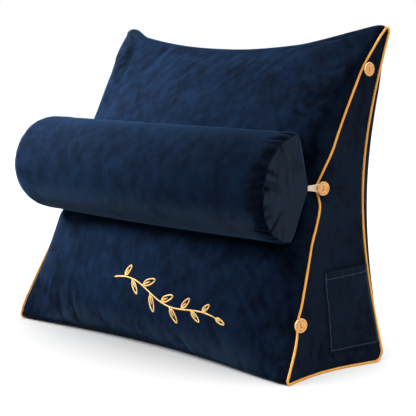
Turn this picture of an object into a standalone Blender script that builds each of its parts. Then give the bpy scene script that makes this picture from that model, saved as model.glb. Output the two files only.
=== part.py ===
"""Wedge reading pillow with a bolster buttoned across its front.

Metres, +Z up.  X runs across the pillow, -Y is its front, the base rests on Z = 0 and the middle of the
base is the origin.  A triangular cushion is wrapped by one long panel (front, top, back, base) and closed
by a triangular gusset at each side.  Every edge of a filled cushion is drawn in between its corners, and
every panel stands up in a crown, so each surface here runs from a drawn-in seam to a crowned middle.
"""
import math

import bmesh
import bpy
import numpy as np
from mathutils import Vector

# ---- wedge cushion
BASE_WIDTH = 0.600
TOP_WIDTH = 0.562
HEIGHT = 0.492
DEPTH = 0.217
TOP_OVERHANG = 0.021          # the ears stand this far behind the back bottom seam
EAR_DROP = {"right": 0.0, "left": 0.0025}
SEAM_LIFT = 0.0030            # height of the base seams above the floor
FRONT_DRAW = (                # how far each front seam is drawn in, by height
    {"up": 0.000, "right": 0.0000, "left": 0.0000},
    {"up": 0.050, "right": -0.0004, "left": -0.0028},
    {"up": 0.108, "right": 0.0010, "left": 0.0012},
    {"up": 0.130, "right": 0.0028, "left": 0.0027},
    {"up": 0.164, "right": 0.0084, "left": 0.0055},
    {"up": 0.205, "right": 0.0088, "left": 0.0092},
    {"up": 0.250, "right": 0.0112, "left": 0.0128},
    {"up": 0.330, "right": 0.0163, "left": 0.0180},
    {"up": 0.380, "right": 0.0196, "left": 0.0210},
    {"up": 0.420, "right": 0.0200, "left": 0.0225},
    {"up": 0.465, "right": 0.0217, "left": 0.0245},
    {"up": 0.505, "right": 0.0257, "left": 0.0265},
    {"up": 0.540, "right": 0.0282, "left": 0.0282},
    {"up": 0.658, "right": 0.0290, "left": 0.0290},
    {"up": 0.820, "right": 0.0228, "left": 0.0215},
    {"up": 0.880, "right": 0.0192, "left": 0.0163},
    {"up": 0.943, "right": 0.0100, "left": 0.0065},
    {"up": 1.000, "right": 0.0000, "left": 0.0030},
)
CREST = (                     # how steeply the front panel rises from its seam: 0 a soft slope, 1 a full crown
    {"up": 0.00, "right": 0.00, "left": 0.00},
    {"up": 0.05, "right": 0.55, "left": 0.10},
    {"up": 0.12, "right": 0.90, "left": 0.15},
    {"up": 0.22, "right": 1.00, "left": 0.30},
    {"up": 0.36, "right": 1.00, "left": 0.55},
    {"up": 0.50, "right": 1.00, "left": 1.00},
    {"up": 0.86, "right": 1.00, "left": 1.00},
    {"up": 0.95, "right": 0.55, "left": 0.70},
    {"up": 1.00, "right": 0.00, "left": 0.00},
)
LOOP_UP = 0.530               # the bolster's loops pull the front seams in further at this height
LOOP_PULL = 0.0130
LOOP_PULL_SPAN = {"above": 0.115, "below": 0.050}
BACK_DRAW = 0.0425
BASE_DRAW = 0.0120
FOOT_FORWARD = 0.004          # the front seams' feet stand this far forward of the depth
HEEL_FORWARD = 0.0190         # the heels, the back corners of the base, stand this far forward of its depth
HEEL_WIDE = 0.0105            # how far the heels stand out beyond the feet
SEAM_FORWARD = 0.006          # the front seam also stands this far forward of its chord
SEAM_RADII = (0.0035, 0.005, 0.014)     # seam corners: front foot, ear, back foot
MIDDLE_RADII = (0.017, 0.022, 0.028)    # the same corners half-way across, where the panel just rolls over
TOP_DIP = 0.033
DIP_CURVE = {"right": 1.7, "left": 2.2}
LOW_POWER = 1.6               # keeps the foot square for a way in from its corners
TOP_FORWARD = 0.004
FRONT_TUCK = -0.0020
BACK_TUCK = 0.0150
FRONT_CROWN = 0.057
BACK_CROWN = 0.042
GUSSET_CROWN = 0.009
SHOULDER = (                  # how far the cover puffs up beside its seam
    {"edge": "foot", "up": 0.0, "right": 0.0030, "left": 0.0010},
    {"edge": "front", "up": 0.0, "right": 0.0040, "left": 0.0000},
    {"edge": "front", "up": 0.12, "right": 0.0048, "left": 0.0005},
    {"edge": "front", "up": 0.20, "right": 0.0053, "left": 0.0075},
    {"edge": "front", "up": 0.4, "right": 0.0065, "left": 0.0125},
    {"edge": "front", "up": 0.7, "right": 0.0065, "left": 0.0020},
    {"edge": "front", "up": 0.9, "right": 0.0075, "left": 0.0170},
    {"edge": "front", "up": 1.0, "right": 0.0075, "left": 0.0160},
    {"edge": "ear", "up": 0.0, "right": 0.0070, "left": 0.0050},
    {"edge": "back", "up": 0.0, "right": 0.0075, "left": 0.0060},
    {"edge": "heel", "up": 0.0, "right": 0.0030, "left": 0.0030},
    {"edge": "base", "up": 0.0, "right": 0.0000, "left": 0.0000},
)
SHOULDER_WIDE = {"right": 0.60, "left": 0.12}      # over what share of the half width it does
EDGE_STEPS = 20
CORNER_STEPS = 2
BASE_STEPS = 8
TOP_STEPS = BASE_STEPS + 2 * CORNER_STEPS
ACROSS = 20

# ---- bolster
BOLSTER_RADIUS = 0.0790
BOLSTER_HALF = 0.2770
BOLSTER_Y = 0.049 - DEPTH / 2
BOLSTER_Z = 0.267
BOLSTER_FLAT = 0.043          # depth behind the axis at which it is pressed flat on the cushion
BOLSTER_PULL = 1.30           # the back of each end seam is pulled in by this share of its depth
BOLSTER_SAG = {"right": 0.14, "left": 0.04}
BOLSTER_LIFT = {"right": 0.0, "left": 0.055}
BOLSTER_TAPER = {"right": 0.024, "left": 0.014}
CAP_BULGE = 0.002
CAP_TIP = (0.2582, 0.0890 - DEPTH / 2, 0.2635)
AROUND = 36
ALONG = 14
CAP_RINGS = 4
CLOTH_GAP = 0.0100

# ---- trims
PIPING_RADIUS = 0.0017
PIPING_OFF = 0.0024
PIPING_OFF_LOW = 0.0028       # along the base, where the gusset rises steeply over its seam
BUTTON_RADIUS = 0.0104
BUTTON_THICK = 0.0036
SHANK_RADIUS = 0.0022
# back: how far behind the seam; stand: back of the button above the seam; clear: gap under the shank
BUTTONS = (
    {"side": "right", "height": "low", "up": 0.164, "back": -0.0045,
     "stand": 0.0100, "clear": 0.0082, "lean": -0.22},
    {"side": "right", "height": "mid", "up": 0.533, "back": -0.0046,
     "stand": 0.0124, "clear": 0.0079, "lean": -0.24},
    {"side": "right", "height": "top", "up": 0.876, "back": 0.0046,
     "stand": 0.0078, "clear": 0.0018, "lean": -0.04},
    {"side": "left", "height": "low", "up": 0.164, "back": 0.0160,
     "stand": 0.0066, "clear": 0.0014, "lean": -0.34},
    {"side": "left", "height": "mid", "up": 0.533, "back": -0.0046,
     "stand": 0.0124, "clear": 0.0079, "lean": -0.24},
    {"side": "left", "height": "top", "up": 0.876, "back": 0.0140,
     "stand": 0.0077, "clear": 0.0014, "lean": -0.10},
)
POCKET_LOW = 0.0255
POCKET_HIGH = 0.1412
POCKET_FRONT = 0.0965 - DEPTH / 2
POCKET_BACK = 0.1995 - DEPTH / 2
POCKET_LEAN = 0.0065
POCKET_THICK = 0.0018
POCKET_OFF = 0.0018           # its stitched edges stand this far off the gusset
POCKET_GAPE = 0.0095
LOOP_RADIUS = 0.0018
LOOP_DEEP = 0.0036            # centre of the cord behind the back of its button
LOOP_REACH = 0.0048           # centre of the cord off the tip of the cap

SIDES = {"right": 1.0, "left": -1.0}


# ---------------------------------------------------------------- small helpers
def unit(vector):
    vector = np.asarray(vector, float)
    return vector / np.linalg.norm(vector)


def mix(first, second, share):
    return first + (second - first) * share


def hump(share, power=1.0):
    return math.sin(math.pi * min(max(share, 0.0), 1.0)) ** power


def smooth(start, end, value):
    share = min(max((value - start) / (end - start), 0.0), 1.0)
    return share * share * (3 - 2 * share)


def from_table(rows, key, value, at):
    """Smooth curve through a short table."""
    xs = np.array([row[key] for row in rows])
    ys = np.array([row[value] for row in rows])
    slopes = np.gradient(ys, xs)
    at = min(max(at, xs[0]), xs[-1])
    i = int(min(max(np.searchsorted(xs, at) - 1, 0), len(xs) - 2))
    span = xs[i + 1] - xs[i]
    t = (at - xs[i]) / span
    start = (2 * t**3 - 3 * t**2 + 1) * ys[i] + (t**3 - 2 * t**2 + t) * span * slopes[i]
    end = (3 * t**2 - 2 * t**3) * ys[i + 1] + (t**3 - t**2) * span * slopes[i + 1]
    return start + end


def fillet(corner, before, after, radius):
    """Arc that rounds one corner of a flat outline: its centre and its two ends."""
    toward_before = unit(before - corner)
    toward_after = unit(after - corner)
    half = math.acos(float(np.clip(toward_before @ toward_after, -1, 1))) / 2
    centre = corner + unit(toward_before + toward_after) * radius / math.sin(half)
    reach = radius / math.tan(half)
    return centre, corner + toward_before * reach, corner + toward_after * reach


def along_arc(centre, start, end, share):
    first = math.atan2(*(start - centre)[::-1])
    turn = math.atan2(*(end - centre)[::-1]) - first
    turn = (turn + math.pi) % (2 * math.pi) - math.pi
    radius = np.linalg.norm(start - centre)
    angle = first + turn * share
    return centre + radius * np.array([math.cos(angle), math.sin(angle)])


def triangle_outline(corners, radii):
    """Rounded triangle in the Y-Z plane, from its front foot up, over the ear, down and forward."""
    front, ear, back = [np.array(corner) for corner in corners]
    foot = fillet(front, back, ear, radii[0])
    top = fillet(ear, front, back, radii[1])
    heel = fillet(back, ear, front, radii[2])
    rows = []
    for k in range(CORNER_STEPS):
        rows.append((along_arc(*foot, 0.5 + 0.5 * k / CORNER_STEPS), "foot", 0.0))
    for k in range(EDGE_STEPS):
        rows.append((mix(foot[2], top[1], k / EDGE_STEPS), "front", k / EDGE_STEPS))
    for k in range(TOP_STEPS):
        rows.append((along_arc(*top, k / TOP_STEPS), "ear", k / TOP_STEPS))
    for k in range(EDGE_STEPS):
        rows.append((mix(top[2], heel[1], k / EDGE_STEPS), "back", k / EDGE_STEPS))
    for k in range(2 * CORNER_STEPS):
        rows.append((along_arc(*heel, 0.5 * k / CORNER_STEPS), "heel", 0.0))
    for k in range(BASE_STEPS):
        rows.append((mix(heel[2], foot[1], k / BASE_STEPS), "base", k / BASE_STEPS))
    for k in range(CORNER_STEPS):
        rows.append((along_arc(*foot, 0.5 * k / CORNER_STEPS), "foot", 0.0))
    return rows


def ear_corner(front, ear, back, radius):
    """Move a sharp ear out along its middle line so that rounding it keeps its height."""
    front, ear, back = np.array(front), np.array(ear), np.array(back)
    toward = unit(unit(ear - front) + unit(ear - back))
    half = math.acos(float(unit(ear - front) @ unit(ear - back))) / 2
    return ear + toward * (radius / math.sin(half) - radius)


# ---------------------------------------------------------------- wedge surfaces
def seam_half_width(z):
    return mix(BASE_WIDTH, TOP_WIDTH, z / HEIGHT) / 2


def loop_pull(z):
    past = z / HEIGHT - LOOP_UP
    span = LOOP_PULL_SPAN["above" if past > 0 else "below"]
    return LOOP_PULL * max(0.0, 1 - abs(past) / span) ** 1.4


def seam_rows(side):
    """A gusset seam, as if on the right: rows of (point, edge, share along the edge)."""
    front = (-DEPTH / 2 - FOOT_FORWARD, SEAM_LIFT)
    back = (DEPTH / 2 - HEEL_FORWARD, SEAM_LIFT)
    ear = ear_corner(front, (DEPTH / 2 + TOP_OVERHANG, HEIGHT - EAR_DROP[side]), back, SEAM_RADII[1])
    outward = unit((-HEIGHT, DEPTH + TOP_OVERHANG))
    rows = []
    for point, edge, share in triangle_outline((front, ear, back), SEAM_RADII):
        draw = 0.0
        shift = np.zeros(2)
        if edge == "front":
            shift = outward * SEAM_FORWARD * hump(share)
            z = (point + shift)[1]
            draw = from_table(FRONT_DRAW, "up", side, z / HEIGHT) + loop_pull(z)
        if edge == "back":
            draw = BACK_DRAW * hump(share) - HEEL_WIDE * share
        if edge == "heel":
            draw = -HEEL_WIDE
        if edge == "base":
            draw = BASE_DRAW * hump(share) - HEEL_WIDE * (1 - share)
        y, z = point + shift
        rows.append((np.array([seam_half_width(z) - draw, y, z]), edge, share))
    return rows


def middle_points():
    """The same loop half-way across, where the crown is highest and the top edge dips."""
    front = np.array([-DEPTH / 2 + FRONT_TUCK, 0.0])
    back = np.array([DEPTH / 2 - BACK_TUCK, 0.0])
    ear = np.array([DEPTH / 2 + TOP_OVERHANG - TOP_FORWARD, HEIGHT])
    ear = ear_corner(front, ear, back, MIDDLE_RADII[1])
    front_out = unit((-(ear - front)[1], (ear - front)[0]))
    back_out = unit((-(back - ear)[1], (back - ear)[0]))
    rows = triangle_outline((front, ear, back), MIDDLE_RADII)
    points = []
    for point, edge, share in rows:
        if edge == "front":
            point = point + front_out * FRONT_CROWN * hump(share, 0.7)
        if edge == "back":
            point = point + back_out * BACK_CROWN * hump(share, 0.8)
        points.append(point)
    points = np.array(points)
    for _ in range(3):
        eased = (np.roll(points, 1, 0) + 2 * points + np.roll(points, -1, 0)) / 4
        for i, (_, edge, _) in enumerate(rows):
            if edge != "base":
                points[i] = eased[i]
    points[:, 1] = np.maximum(points[:, 1], 0.0) * (HEIGHT - TOP_DIP) / points[:, 1].max()
    return points


def bolster_frame():
    """Directions in the Y-Z plane: away from the front panel, and up along it."""
    along = unit((DEPTH + TOP_OVERHANG + FOOT_FORWARD, HEIGHT))
    away = np.array([-along[1], along[0]])
    return away, along


def pressed_by_bolster(y, z, half_width_share):
    """Keep the front panel behind the bolster that lies against it."""
    away, along = bolster_frame()
    offset = np.array([y - BOLSTER_Y, z - BOLSTER_Z])
    across = float(offset @ along)
    depth = float(offset @ away)
    if abs(across) > BOLSTER_RADIUS + 0.03:
        return y, z
    chord = math.sqrt(max(BOLSTER_RADIUS**2 - across**2, 0.0))
    limit = -min(chord, BOLSTER_FLAT) - CLOTH_GAP
    limit -= 0.004 * max(0.0, 1 - abs(across) / BOLSTER_RADIUS) * (1 - half_width_share)
    softness = 0.006
    eased = limit - softness * math.log1p(math.exp(min((limit - depth) / softness, 60.0)))
    held = 1 - half_width_share ** 24
    pushed = np.array([BOLSTER_Y, BOLSTER_Z]) + along * across + away * mix(depth, min(eased, depth), held)
    return float(pushed[0]), float(pushed[1])


def wrap_shares():
    spread = np.linspace(-1, 1, ACROSS + 1)
    return 0.55 * np.sin(spread * math.pi / 2) + 0.45 * spread


def outward_directions(outline):
    """Unit normals of a closed outline in the Y-Z plane, eased round its corners."""
    ahead = np.roll(outline, -1, 0) - np.roll(outline, 1, 0)
    normals = np.stack([-ahead[:, 1], ahead[:, 0]], 1)
    normals = (np.roll(normals, 1, 0) + 2 * normals + np.roll(normals, -1, 0)) / 4
    return normals / np.linalg.norm(normals, axis=1)[:, None]


def shoulders(rows, side):
    """How far the cover puffs out beside the seam at each point of it, as a vector in the Y-Z plane."""
    height = []
    for _, edge, share in rows:
        steps = [row for row in SHOULDER if row["edge"] == edge]
        height.append(np.interp(share, [row["up"] for row in steps], [row[side] for row in steps]))
    height = np.array(height)
    for _ in range(2):
        height = (np.roll(height, 1) + 2 * height + np.roll(height, -1)) / 4
    outline = np.array([row[0][1:] for row in rows])
    return outward_directions(outline) * height[:, None]


def crest(edge, up, side):
    if edge == "front":
        return from_table(CREST, "up", side, up)
    return min(1.0, 2.4 * hump(up)) ** 0.6 if edge == "back" else 0.0


def lowness(edge, up):
    """1 along the base and its corners, fading to 0 up the front and the back."""
    if edge == "front":
        return smooth(0.3, 0.0, up)
    if edge == "back":
        return smooth(0.7, 1.0, up)
    return 0.0 if edge == "ear" else 1.0


def wrap_point(row, middle, shoulder, share):
    seam, edge, up = row
    side = "right" if share > 0 else "left"
    bulge = crest(edge, up, side)
    sharp = mix(DIP_CURVE[side], 3.3, bulge)
    power = mix(mix(1.0, LOW_POWER, lowness(edge, up)), 0.40, bulge)
    rise = (1 - abs(share) ** sharp) ** power
    x = share * seam[0]
    puff = (1 - abs(share) ** 60) * smooth(1 - SHOULDER_WIDE[side], 0.97, abs(share))
    y = mix(seam[1], middle[0], rise) + shoulder[0] * puff
    z = mix(seam[2], middle[1], rise) + shoulder[1] * puff
    if edge == "base":
        z = SEAM_LIFT * abs(share) ** 12
    if edge == "front":
        y, z = pressed_by_bolster(y, z, abs(share))
    return x, y, max(z, 0.0)


def gusset_grid(side):
    """A gusset, as if on the right: rows of points from the base seam up, each from front to back."""
    seam = [row[0] for row in seam_rows(side)]
    edge = EDGE_STEPS + CORNER_STEPS
    front = seam[:edge + 1]
    ear = seam[edge:edge + TOP_STEPS + 1]
    back = seam[edge + TOP_STEPS:2 * edge + TOP_STEPS + 1][::-1]
    base = (seam[2 * edge + TOP_STEPS:] + seam[:1])[::-1]
    grid = []
    for j in range(edge + 1):
        up = j / edge
        row = []
        for i in range(TOP_STEPS + 1):
            over = i / TOP_STEPS
            ruled = mix(front[j], back[j], over)
            lofted = mix(base[i], ear[i], up)
            corners = mix(mix(base[0], base[-1], over), mix(ear[0], ear[-1], over), up)
            point = ruled + lofted - corners
            point[0] += loop_pull(point[2]) * (1 - over - (1 - over) ** 2.5)
            point[0] += GUSSET_CROWN * hump(over) * (1 - up) * (1 - (1 - up) ** 6)
            row.append(point)
        grid.append(row)
    return grid


def gusset_cloud(side):
    """Fine sampling of a gusset."""
    grid = gusset_grid(side)
    return np.array([
        mix(mix(low[i], low[i + 1], a / 3), mix(high[i], high[i + 1], a / 3), b / 4)
        for low, high in zip(grid, grid[1:])
        for i in range(TOP_STEPS)
        for a in range(3)
        for b in range(4)
    ])


def gusset_surface(side, y, z):
    """Distance of a gusset from the middle plane, at a place in the Y-Z plane."""
    cloud = GUSSET_CLOUDS[side]
    best = cloud[np.argsort(((cloud[:, 1:] - (y, z)) ** 2).sum(1))[:6]]
    weight = 1 / (((best[:, 1:] - (y, z)) ** 2).sum(1) + 1e-6)
    return float((best[:, 0] * weight).sum() / weight.sum())


# ---------------------------------------------------------------- objects
def clear_scene():
    for thing in list(bpy.data.objects):
        bpy.data.objects.remove(thing, do_unlink=True)
    for mesh in list(bpy.data.meshes):
        bpy.data.meshes.remove(mesh)


def material(name, colour, roughness, sheen=0.0):
    made = bpy.data.materials.new(name)
    made.use_nodes = True
    shader = made.node_tree.nodes["Principled BSDF"]
    shader.inputs["Base Color"].default_value = (*colour, 1.0)
    shader.inputs["Roughness"].default_value = roughness
    shader.inputs["Sheen Weight"].default_value = sheen
    return made


def place(name, data, paint):
    thing = bpy.data.objects.new(name, data)
    data.materials.append(paint)
    GROUP.objects.link(thing)
    return thing


def closed_mesh(name, verts, faces, paint):
    mesh = bpy.data.meshes.new(name)
    mesh.from_pydata([tuple(v) for v in verts], [], faces)
    mesh.validate()
    work = bmesh.new()
    work.from_mesh(mesh)
    bmesh.ops.remove_doubles(work, verts=work.verts, dist=0.00002)
    bmesh.ops.recalc_face_normals(work, faces=work.faces)
    if work.calc_volume(signed=True) < 0:
        bmesh.ops.reverse_faces(work, faces=work.faces)
    work.to_mesh(mesh)
    work.free()
    for polygon in mesh.polygons:
        polygon.use_smooth = True
    return place(name, mesh, paint)


def ring_faces(first, second, count):
    """Quads between two closed rings of vertex numbers."""
    return [(first[i], first[(i + 1) % count], second[(i + 1) % count], second[i]) for i in range(count)]


def build_wedge():
    rows = {side: seam_rows(side) for side in SIDES}
    puffs = {side: shoulders(rows[side], side) for side in SIDES}
    middle = middle_points()
    count = len(middle)
    verts, rings, faces = [], [], []
    for share in wrap_shares():
        side = "right" if share > 0 else "left"
        rings.append(range(len(verts), len(verts) + count))
        verts += [wrap_point(rows[side][i], middle[i], puffs[side][i], share) for i in range(count)]
    for side, sign in SIDES.items():
        first = len(verts)
        wide = TOP_STEPS + 1
        grid = gusset_grid(side)
        for row in grid:
            verts += [point * (sign, 1, 1) for point in row]
        for j in range(len(grid) - 1):
            for i in range(TOP_STEPS):
                corner = first + j * wide + i
                faces.append((corner, corner + 1, corner + wide + 1, corner + wide))
    for first, second in zip(rings, rings[1:]):
        faces += ring_faces(first, second, count)
    return closed_mesh("wedge_cushion", verts, faces, NAVY)


def bolster_section(angle, radius):
    """Round section in (away, along), pressed flat where it lies on the cushion."""
    away = radius * math.cos(angle)
    along = radius * math.sin(angle)
    softness = 0.004
    if away < 0:
        away = -BOLSTER_FLAT + softness * math.log1p(math.exp((away + BOLSTER_FLAT) / softness))
    return away, along


def bolster_point(share, angle):
    """Point on the tube; share runs -1 to 1 from end seam to end seam."""
    side = "right" if share > 0 else "left"
    taper = 1 - 0.004 * share**2 - BOLSTER_TAPER[side] * abs(share) ** 16
    away, along = bolster_section(angle, BOLSTER_RADIUS * taper)
    out, up = bolster_frame()
    y, z = out * away + up * along + (BOLSTER_Y, BOLSTER_Z)
    z += BOLSTER_LIFT[side] * abs(share) ** 3 * max(0.0, BOLSTER_Z - z)
    soft = 0.010
    behind = soft * math.log1p(math.exp((y - BOLSTER_Y - 0.006) / soft))
    pull = (BOLSTER_PULL * behind + BOLSTER_SAG[side] * max(0.0, BOLSTER_Z - z)) * abs(share) ** 5
    return np.array([share * BOLSTER_HALF - math.copysign(pull, share), y, z])


def build_bolster():
    angles = [2 * math.pi * k / AROUND for k in range(AROUND)]
    spread = np.linspace(-1, 1, ALONG + 1)
    shares = 0.6 * np.sin(spread * math.pi / 2) + 0.4 * spread
    verts, rings, faces = [], [], []
    for share in shares:
        rings.append(range(len(verts), len(verts) + AROUND))
        verts += [bolster_point(share, angle) for angle in angles]
    for first, second in zip(rings, rings[1:]):
        faces += ring_faces(first, second, AROUND)
    for side, outer in ((-1.0, rings[0]), (1.0, rings[-1])):
        tip = np.array([side * CAP_TIP[0], CAP_TIP[1], CAP_TIP[2]])
        seam = np.array([verts[i] for i in outer])
        last = outer
        for k in range(1, CAP_RINGS + 1):
            inward = k / (CAP_RINGS + 1)
            ring = range(len(verts), len(verts) + AROUND)
            swell = np.array([side * CAP_BULGE * 3.2 * inward * (1 - inward) ** 2.2, 0.0, 0.0])
            verts += [mix(point, tip, inward**1.15) + swell for point in seam]
            faces += ring_faces(last, ring, AROUND)
            last = ring
        verts.append(tip)
        faces += [(last[i], last[(i + 1) % AROUND], len(verts) - 1) for i in range(AROUND)]
    return closed_mesh("bolster_roll", verts, faces, NAVY)


def cord_curve(name, points, radius, paint):
    """Closed cord: a cyclic poly curve with a round bevel."""
    curve = bpy.data.curves.new(name, "CURVE")
    curve.dimensions = "3D"
    curve.bevel_depth = radius
    curve.bevel_resolution = 2
    spline = curve.splines.new("POLY")
    spline.points.add(len(points) - 1)
    for knot, point in zip(spline.points, points):
        knot.co = (*[float(value) for value in point], 1.0)
    spline.use_cyclic_u = True
    spline.use_smooth = True
    return place(name, curve, paint)


def gusset_neighbours(side):
    """For each seam point, the gusset point next to it on the way in."""
    grid = gusset_grid(side)
    edge = EDGE_STEPS + CORNER_STEPS
    front = [grid[j][1] for j in range(edge)]
    ear = [grid[-2][i] for i in range(TOP_STEPS)]
    back = [grid[edge - j][-2] for j in range(edge)]
    base = [grid[1][TOP_STEPS - i] for i in range(TOP_STEPS)]
    return front + ear + back + base


def square_to(direction, forward):
    return unit(direction - forward * (direction @ forward))


def piping_points(side):
    """Line of the piping, standing just off the seam along the corner between the two panels."""
    rows = seam_rows(side)
    puffs = shoulders(rows, side)
    middle = middle_points()
    inner = gusset_neighbours(side)
    next_share = SIDES[side] * wrap_shares()[-2]
    count = len(rows)
    offsets = []
    for i, row in enumerate(rows):
        point = row[0]
        forward = unit(rows[(i + 1) % count][0] - rows[i - 1][0])
        panel = np.array(wrap_point(row, middle[i], puffs[i], next_share)) * (SIDES[side], 1, 1)
        into_wrap = square_to(panel - point, forward)
        into_gusset = square_to(inner[i] - point, forward)
        offsets.append(unit(unit(np.cross(forward, into_wrap)) + unit(np.cross(into_gusset, forward))))
    offsets = np.array(offsets)
    for _ in range(2):
        offsets = (np.roll(offsets, 1, 0) + 2 * offsets + np.roll(offsets, -1, 0)) / 4
    line = []
    for row, off in zip(rows, offsets):
        spot = row[0] + unit(off) * PIPING_OFF
        if spot[2] < PIPING_RADIUS + 0.0003:
            spot[2] = PIPING_RADIUS + 0.0003
            spot[0] = max(spot[0], row[0][0] + PIPING_OFF_LOW)
        line.append(spot * (SIDES[side], 1, 1))
    return line


def seam_at(side, up):
    """Point of a front seam at a share of its height, and the way along the gusset from it."""
    points = np.array([row[0] for row in seam_rows(side) if row[1] == "front"])
    spot = np.array([np.interp(up * HEIGHT, points[:, 2], points[:, k]) for k in range(3)])
    inward = np.array([gusset_surface(side, spot[1] + 0.01, spot[2]) - spot[0], 0.01, 0.0])
    return spot, unit(inward)


def button_frame(button):
    """Centre of the back of a button, and the way it faces, both as if on the right."""
    spot, inward = seam_at(button["side"], button["up"])
    face = unit((1.0, button["lean"], 0.0))
    centre = spot + inward * button["back"] + np.array([button["stand"], 0.0, 0.0])
    return centre, face


def button_profile(reach):
    """Half outline of a turned button, from the middle of its face out and down to its thread shank."""
    rim = BUTTON_RADIUS
    return (
        {"r": 0.0, "h": BUTTON_THICK * 0.62},
        {"r": rim * 0.70, "h": BUTTON_THICK * 0.70},
        {"r": rim * 0.80, "h": BUTTON_THICK * 0.97},
        {"r": rim * 0.93, "h": BUTTON_THICK},
        {"r": rim, "h": BUTTON_THICK * 0.72},
        {"r": rim, "h": BUTTON_THICK * 0.30},
        {"r": rim * 0.90, "h": 0.0},
        {"r": SHANK_RADIUS, "h": 0.0},
        {"r": SHANK_RADIUS, "h": -reach},
        {"r": 0.0, "h": -reach},
    )


def build_button(button):
    """A button is its profile, turned by a Screw modifier and set facing out of its gusset."""
    mesh = bpy.data.meshes.new("button_profile")
    rows = button_profile(button["stand"] - button["clear"])
    points = [(row["r"], 0.0, row["h"]) for row in rows]
    mesh.from_pydata(points, [(i, i + 1) for i in range(len(rows) - 1)], [])
    thing = place("button_" + button["side"] + "_" + button["height"], mesh, WOOD)
    centre, face = button_frame(button)
    sign = SIDES[button["side"]]
    thing.location = Vector(centre * (sign, 1, 1))
    thing.rotation_euler = Vector(face * (sign, 1, 1)).to_track_quat("Z", "Y").to_euler()
    turn = thing.modifiers.new("turned", "SCREW")
    turn.axis = "Z"
    turn.steps = 28
    turn.render_steps = 28
    turn.use_merge_vertices = True
    turn.merge_threshold = 0.00002
    turn.use_smooth_shade = True
    return thing


def build_loop(button):
    """Cord loop from the tip of the bolster's cap round the shank of the middle button."""
    centre, face = button_frame(button)
    tip = np.array(CAP_TIP)
    shank = centre - face * LOOP_DEEP
    run = unit(shank - tip)
    across = unit(np.cross(run, face))
    start = tip + run * LOOP_REACH
    wide = SHANK_RADIUS + LOOP_RADIUS + 0.0006
    narrow = LOOP_RADIUS * 1.15
    line = []
    for k in range(9):
        angle = -math.pi / 2 + math.pi * k / 8
        line.append(shank + across * wide * math.sin(angle) + run * wide * math.cos(angle))
    for k in range(1, 5):
        line.append(mix(shank + across * wide, start + across * narrow, k / 5))
    for k in range(5):
        angle = math.pi / 2 + math.pi * k / 4
        line.append(start + across * narrow * math.sin(angle) + run * narrow * math.cos(angle))
    for k in range(1, 5):
        line.append(mix(start - across * narrow, shank - across * wide, k / 5))
    line = np.array(line) * (SIDES[button["side"]], 1, 1)
    return cord_curve("loop_" + button["side"], line, LOOP_RADIUS, CREAM)


def build_pocket(side):
    """Patch pocket: a hemmed sheet that stands off the gusset, closed at its foot and two sides."""
    wide, tall = 8, 8
    layers = []
    for lift in (0.0, POCKET_THICK):
        grid = []
        for j in range(tall + 1):
            v = j / tall
            for i in range(wide + 1):
                u = i / wide
                lean = POCKET_LEAN * v
                y = mix(POCKET_FRONT, POCKET_BACK, u) + lean
                z = mix(POCKET_LOW, POCKET_HIGH, v)
                open_share = hump(u, 0.8) * math.sin(math.pi / 2 * min(1.0, v * 1.4)) ** 0.8
                x = gusset_surface(side, y, z) + POCKET_OFF + POCKET_GAPE * open_share + lift
                grid.append((SIDES[side] * x, y, z))
        layers.append(grid)
    verts = layers[0] + layers[1]
    size = len(layers[0])
    row = wide + 1
    faces = []
    for j in range(tall):
        for i in range(wide):
            a = j * row + i
            faces.append((a, a + 1, a + row + 1, a + row))
            faces.append((size + a, size + a + 1, size + a + row + 1, size + a + row))
    edge = [i for i in range(wide)] + [wide + j * row for j in range(tall)]
    edge += [tall * row + wide - i for i in range(wide)] + [(tall - j) * row for j in range(tall)]
    for first, second in zip(edge, edge[1:] + edge[:1]):
        faces.append((first, second, size + second, size + first))
    return closed_mesh("pocket_" + side, verts, faces, NAVY)


clear_scene()
GROUP = bpy.data.collections.new("wedge_reading_pillow")
bpy.context.scene.collection.children.link(GROUP)
NAVY = material("navy_velvet", (0.020, 0.045, 0.105), 0.85, 0.4)
AMBER = material("amber_piping", (0.62, 0.34, 0.05), 0.55)
WOOD = material("turned_wood", (0.66, 0.42, 0.16), 0.45)
CREAM = material("cream_cord", (0.80, 0.74, 0.60), 0.75)

GUSSET_CLOUDS = {side: gusset_cloud(side) for side in SIDES}

build_wedge()
build_bolster()
for side_name in SIDES:
    cord_curve("piping_" + side_name, piping_points(side_name), PIPING_RADIUS, AMBER)
for each in BUTTONS:
    build_button(each)
    if each["height"] == "mid":
        build_loop(each)
build_pocket("right")
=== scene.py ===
"""Looks of the wedge reading pillow: velvet, satin piping, wooden buttons, cord loops and a pocket.

Metres, in the frame's axes: X runs across the pillow, -Y is its front and Z = 0 is what it stands on.
The two filled cushions are built as their sewn panels, filled out by a short cloth simulation that is
held at the seams, and then subdivided.  The trims are laid on the finished cushions.
"""
import math
from collections import namedtuple

import bmesh
import bpy
import numpy as np
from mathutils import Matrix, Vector
from mathutils.bvhtree import BVHTree
from mathutils.kdtree import KDTree


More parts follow.
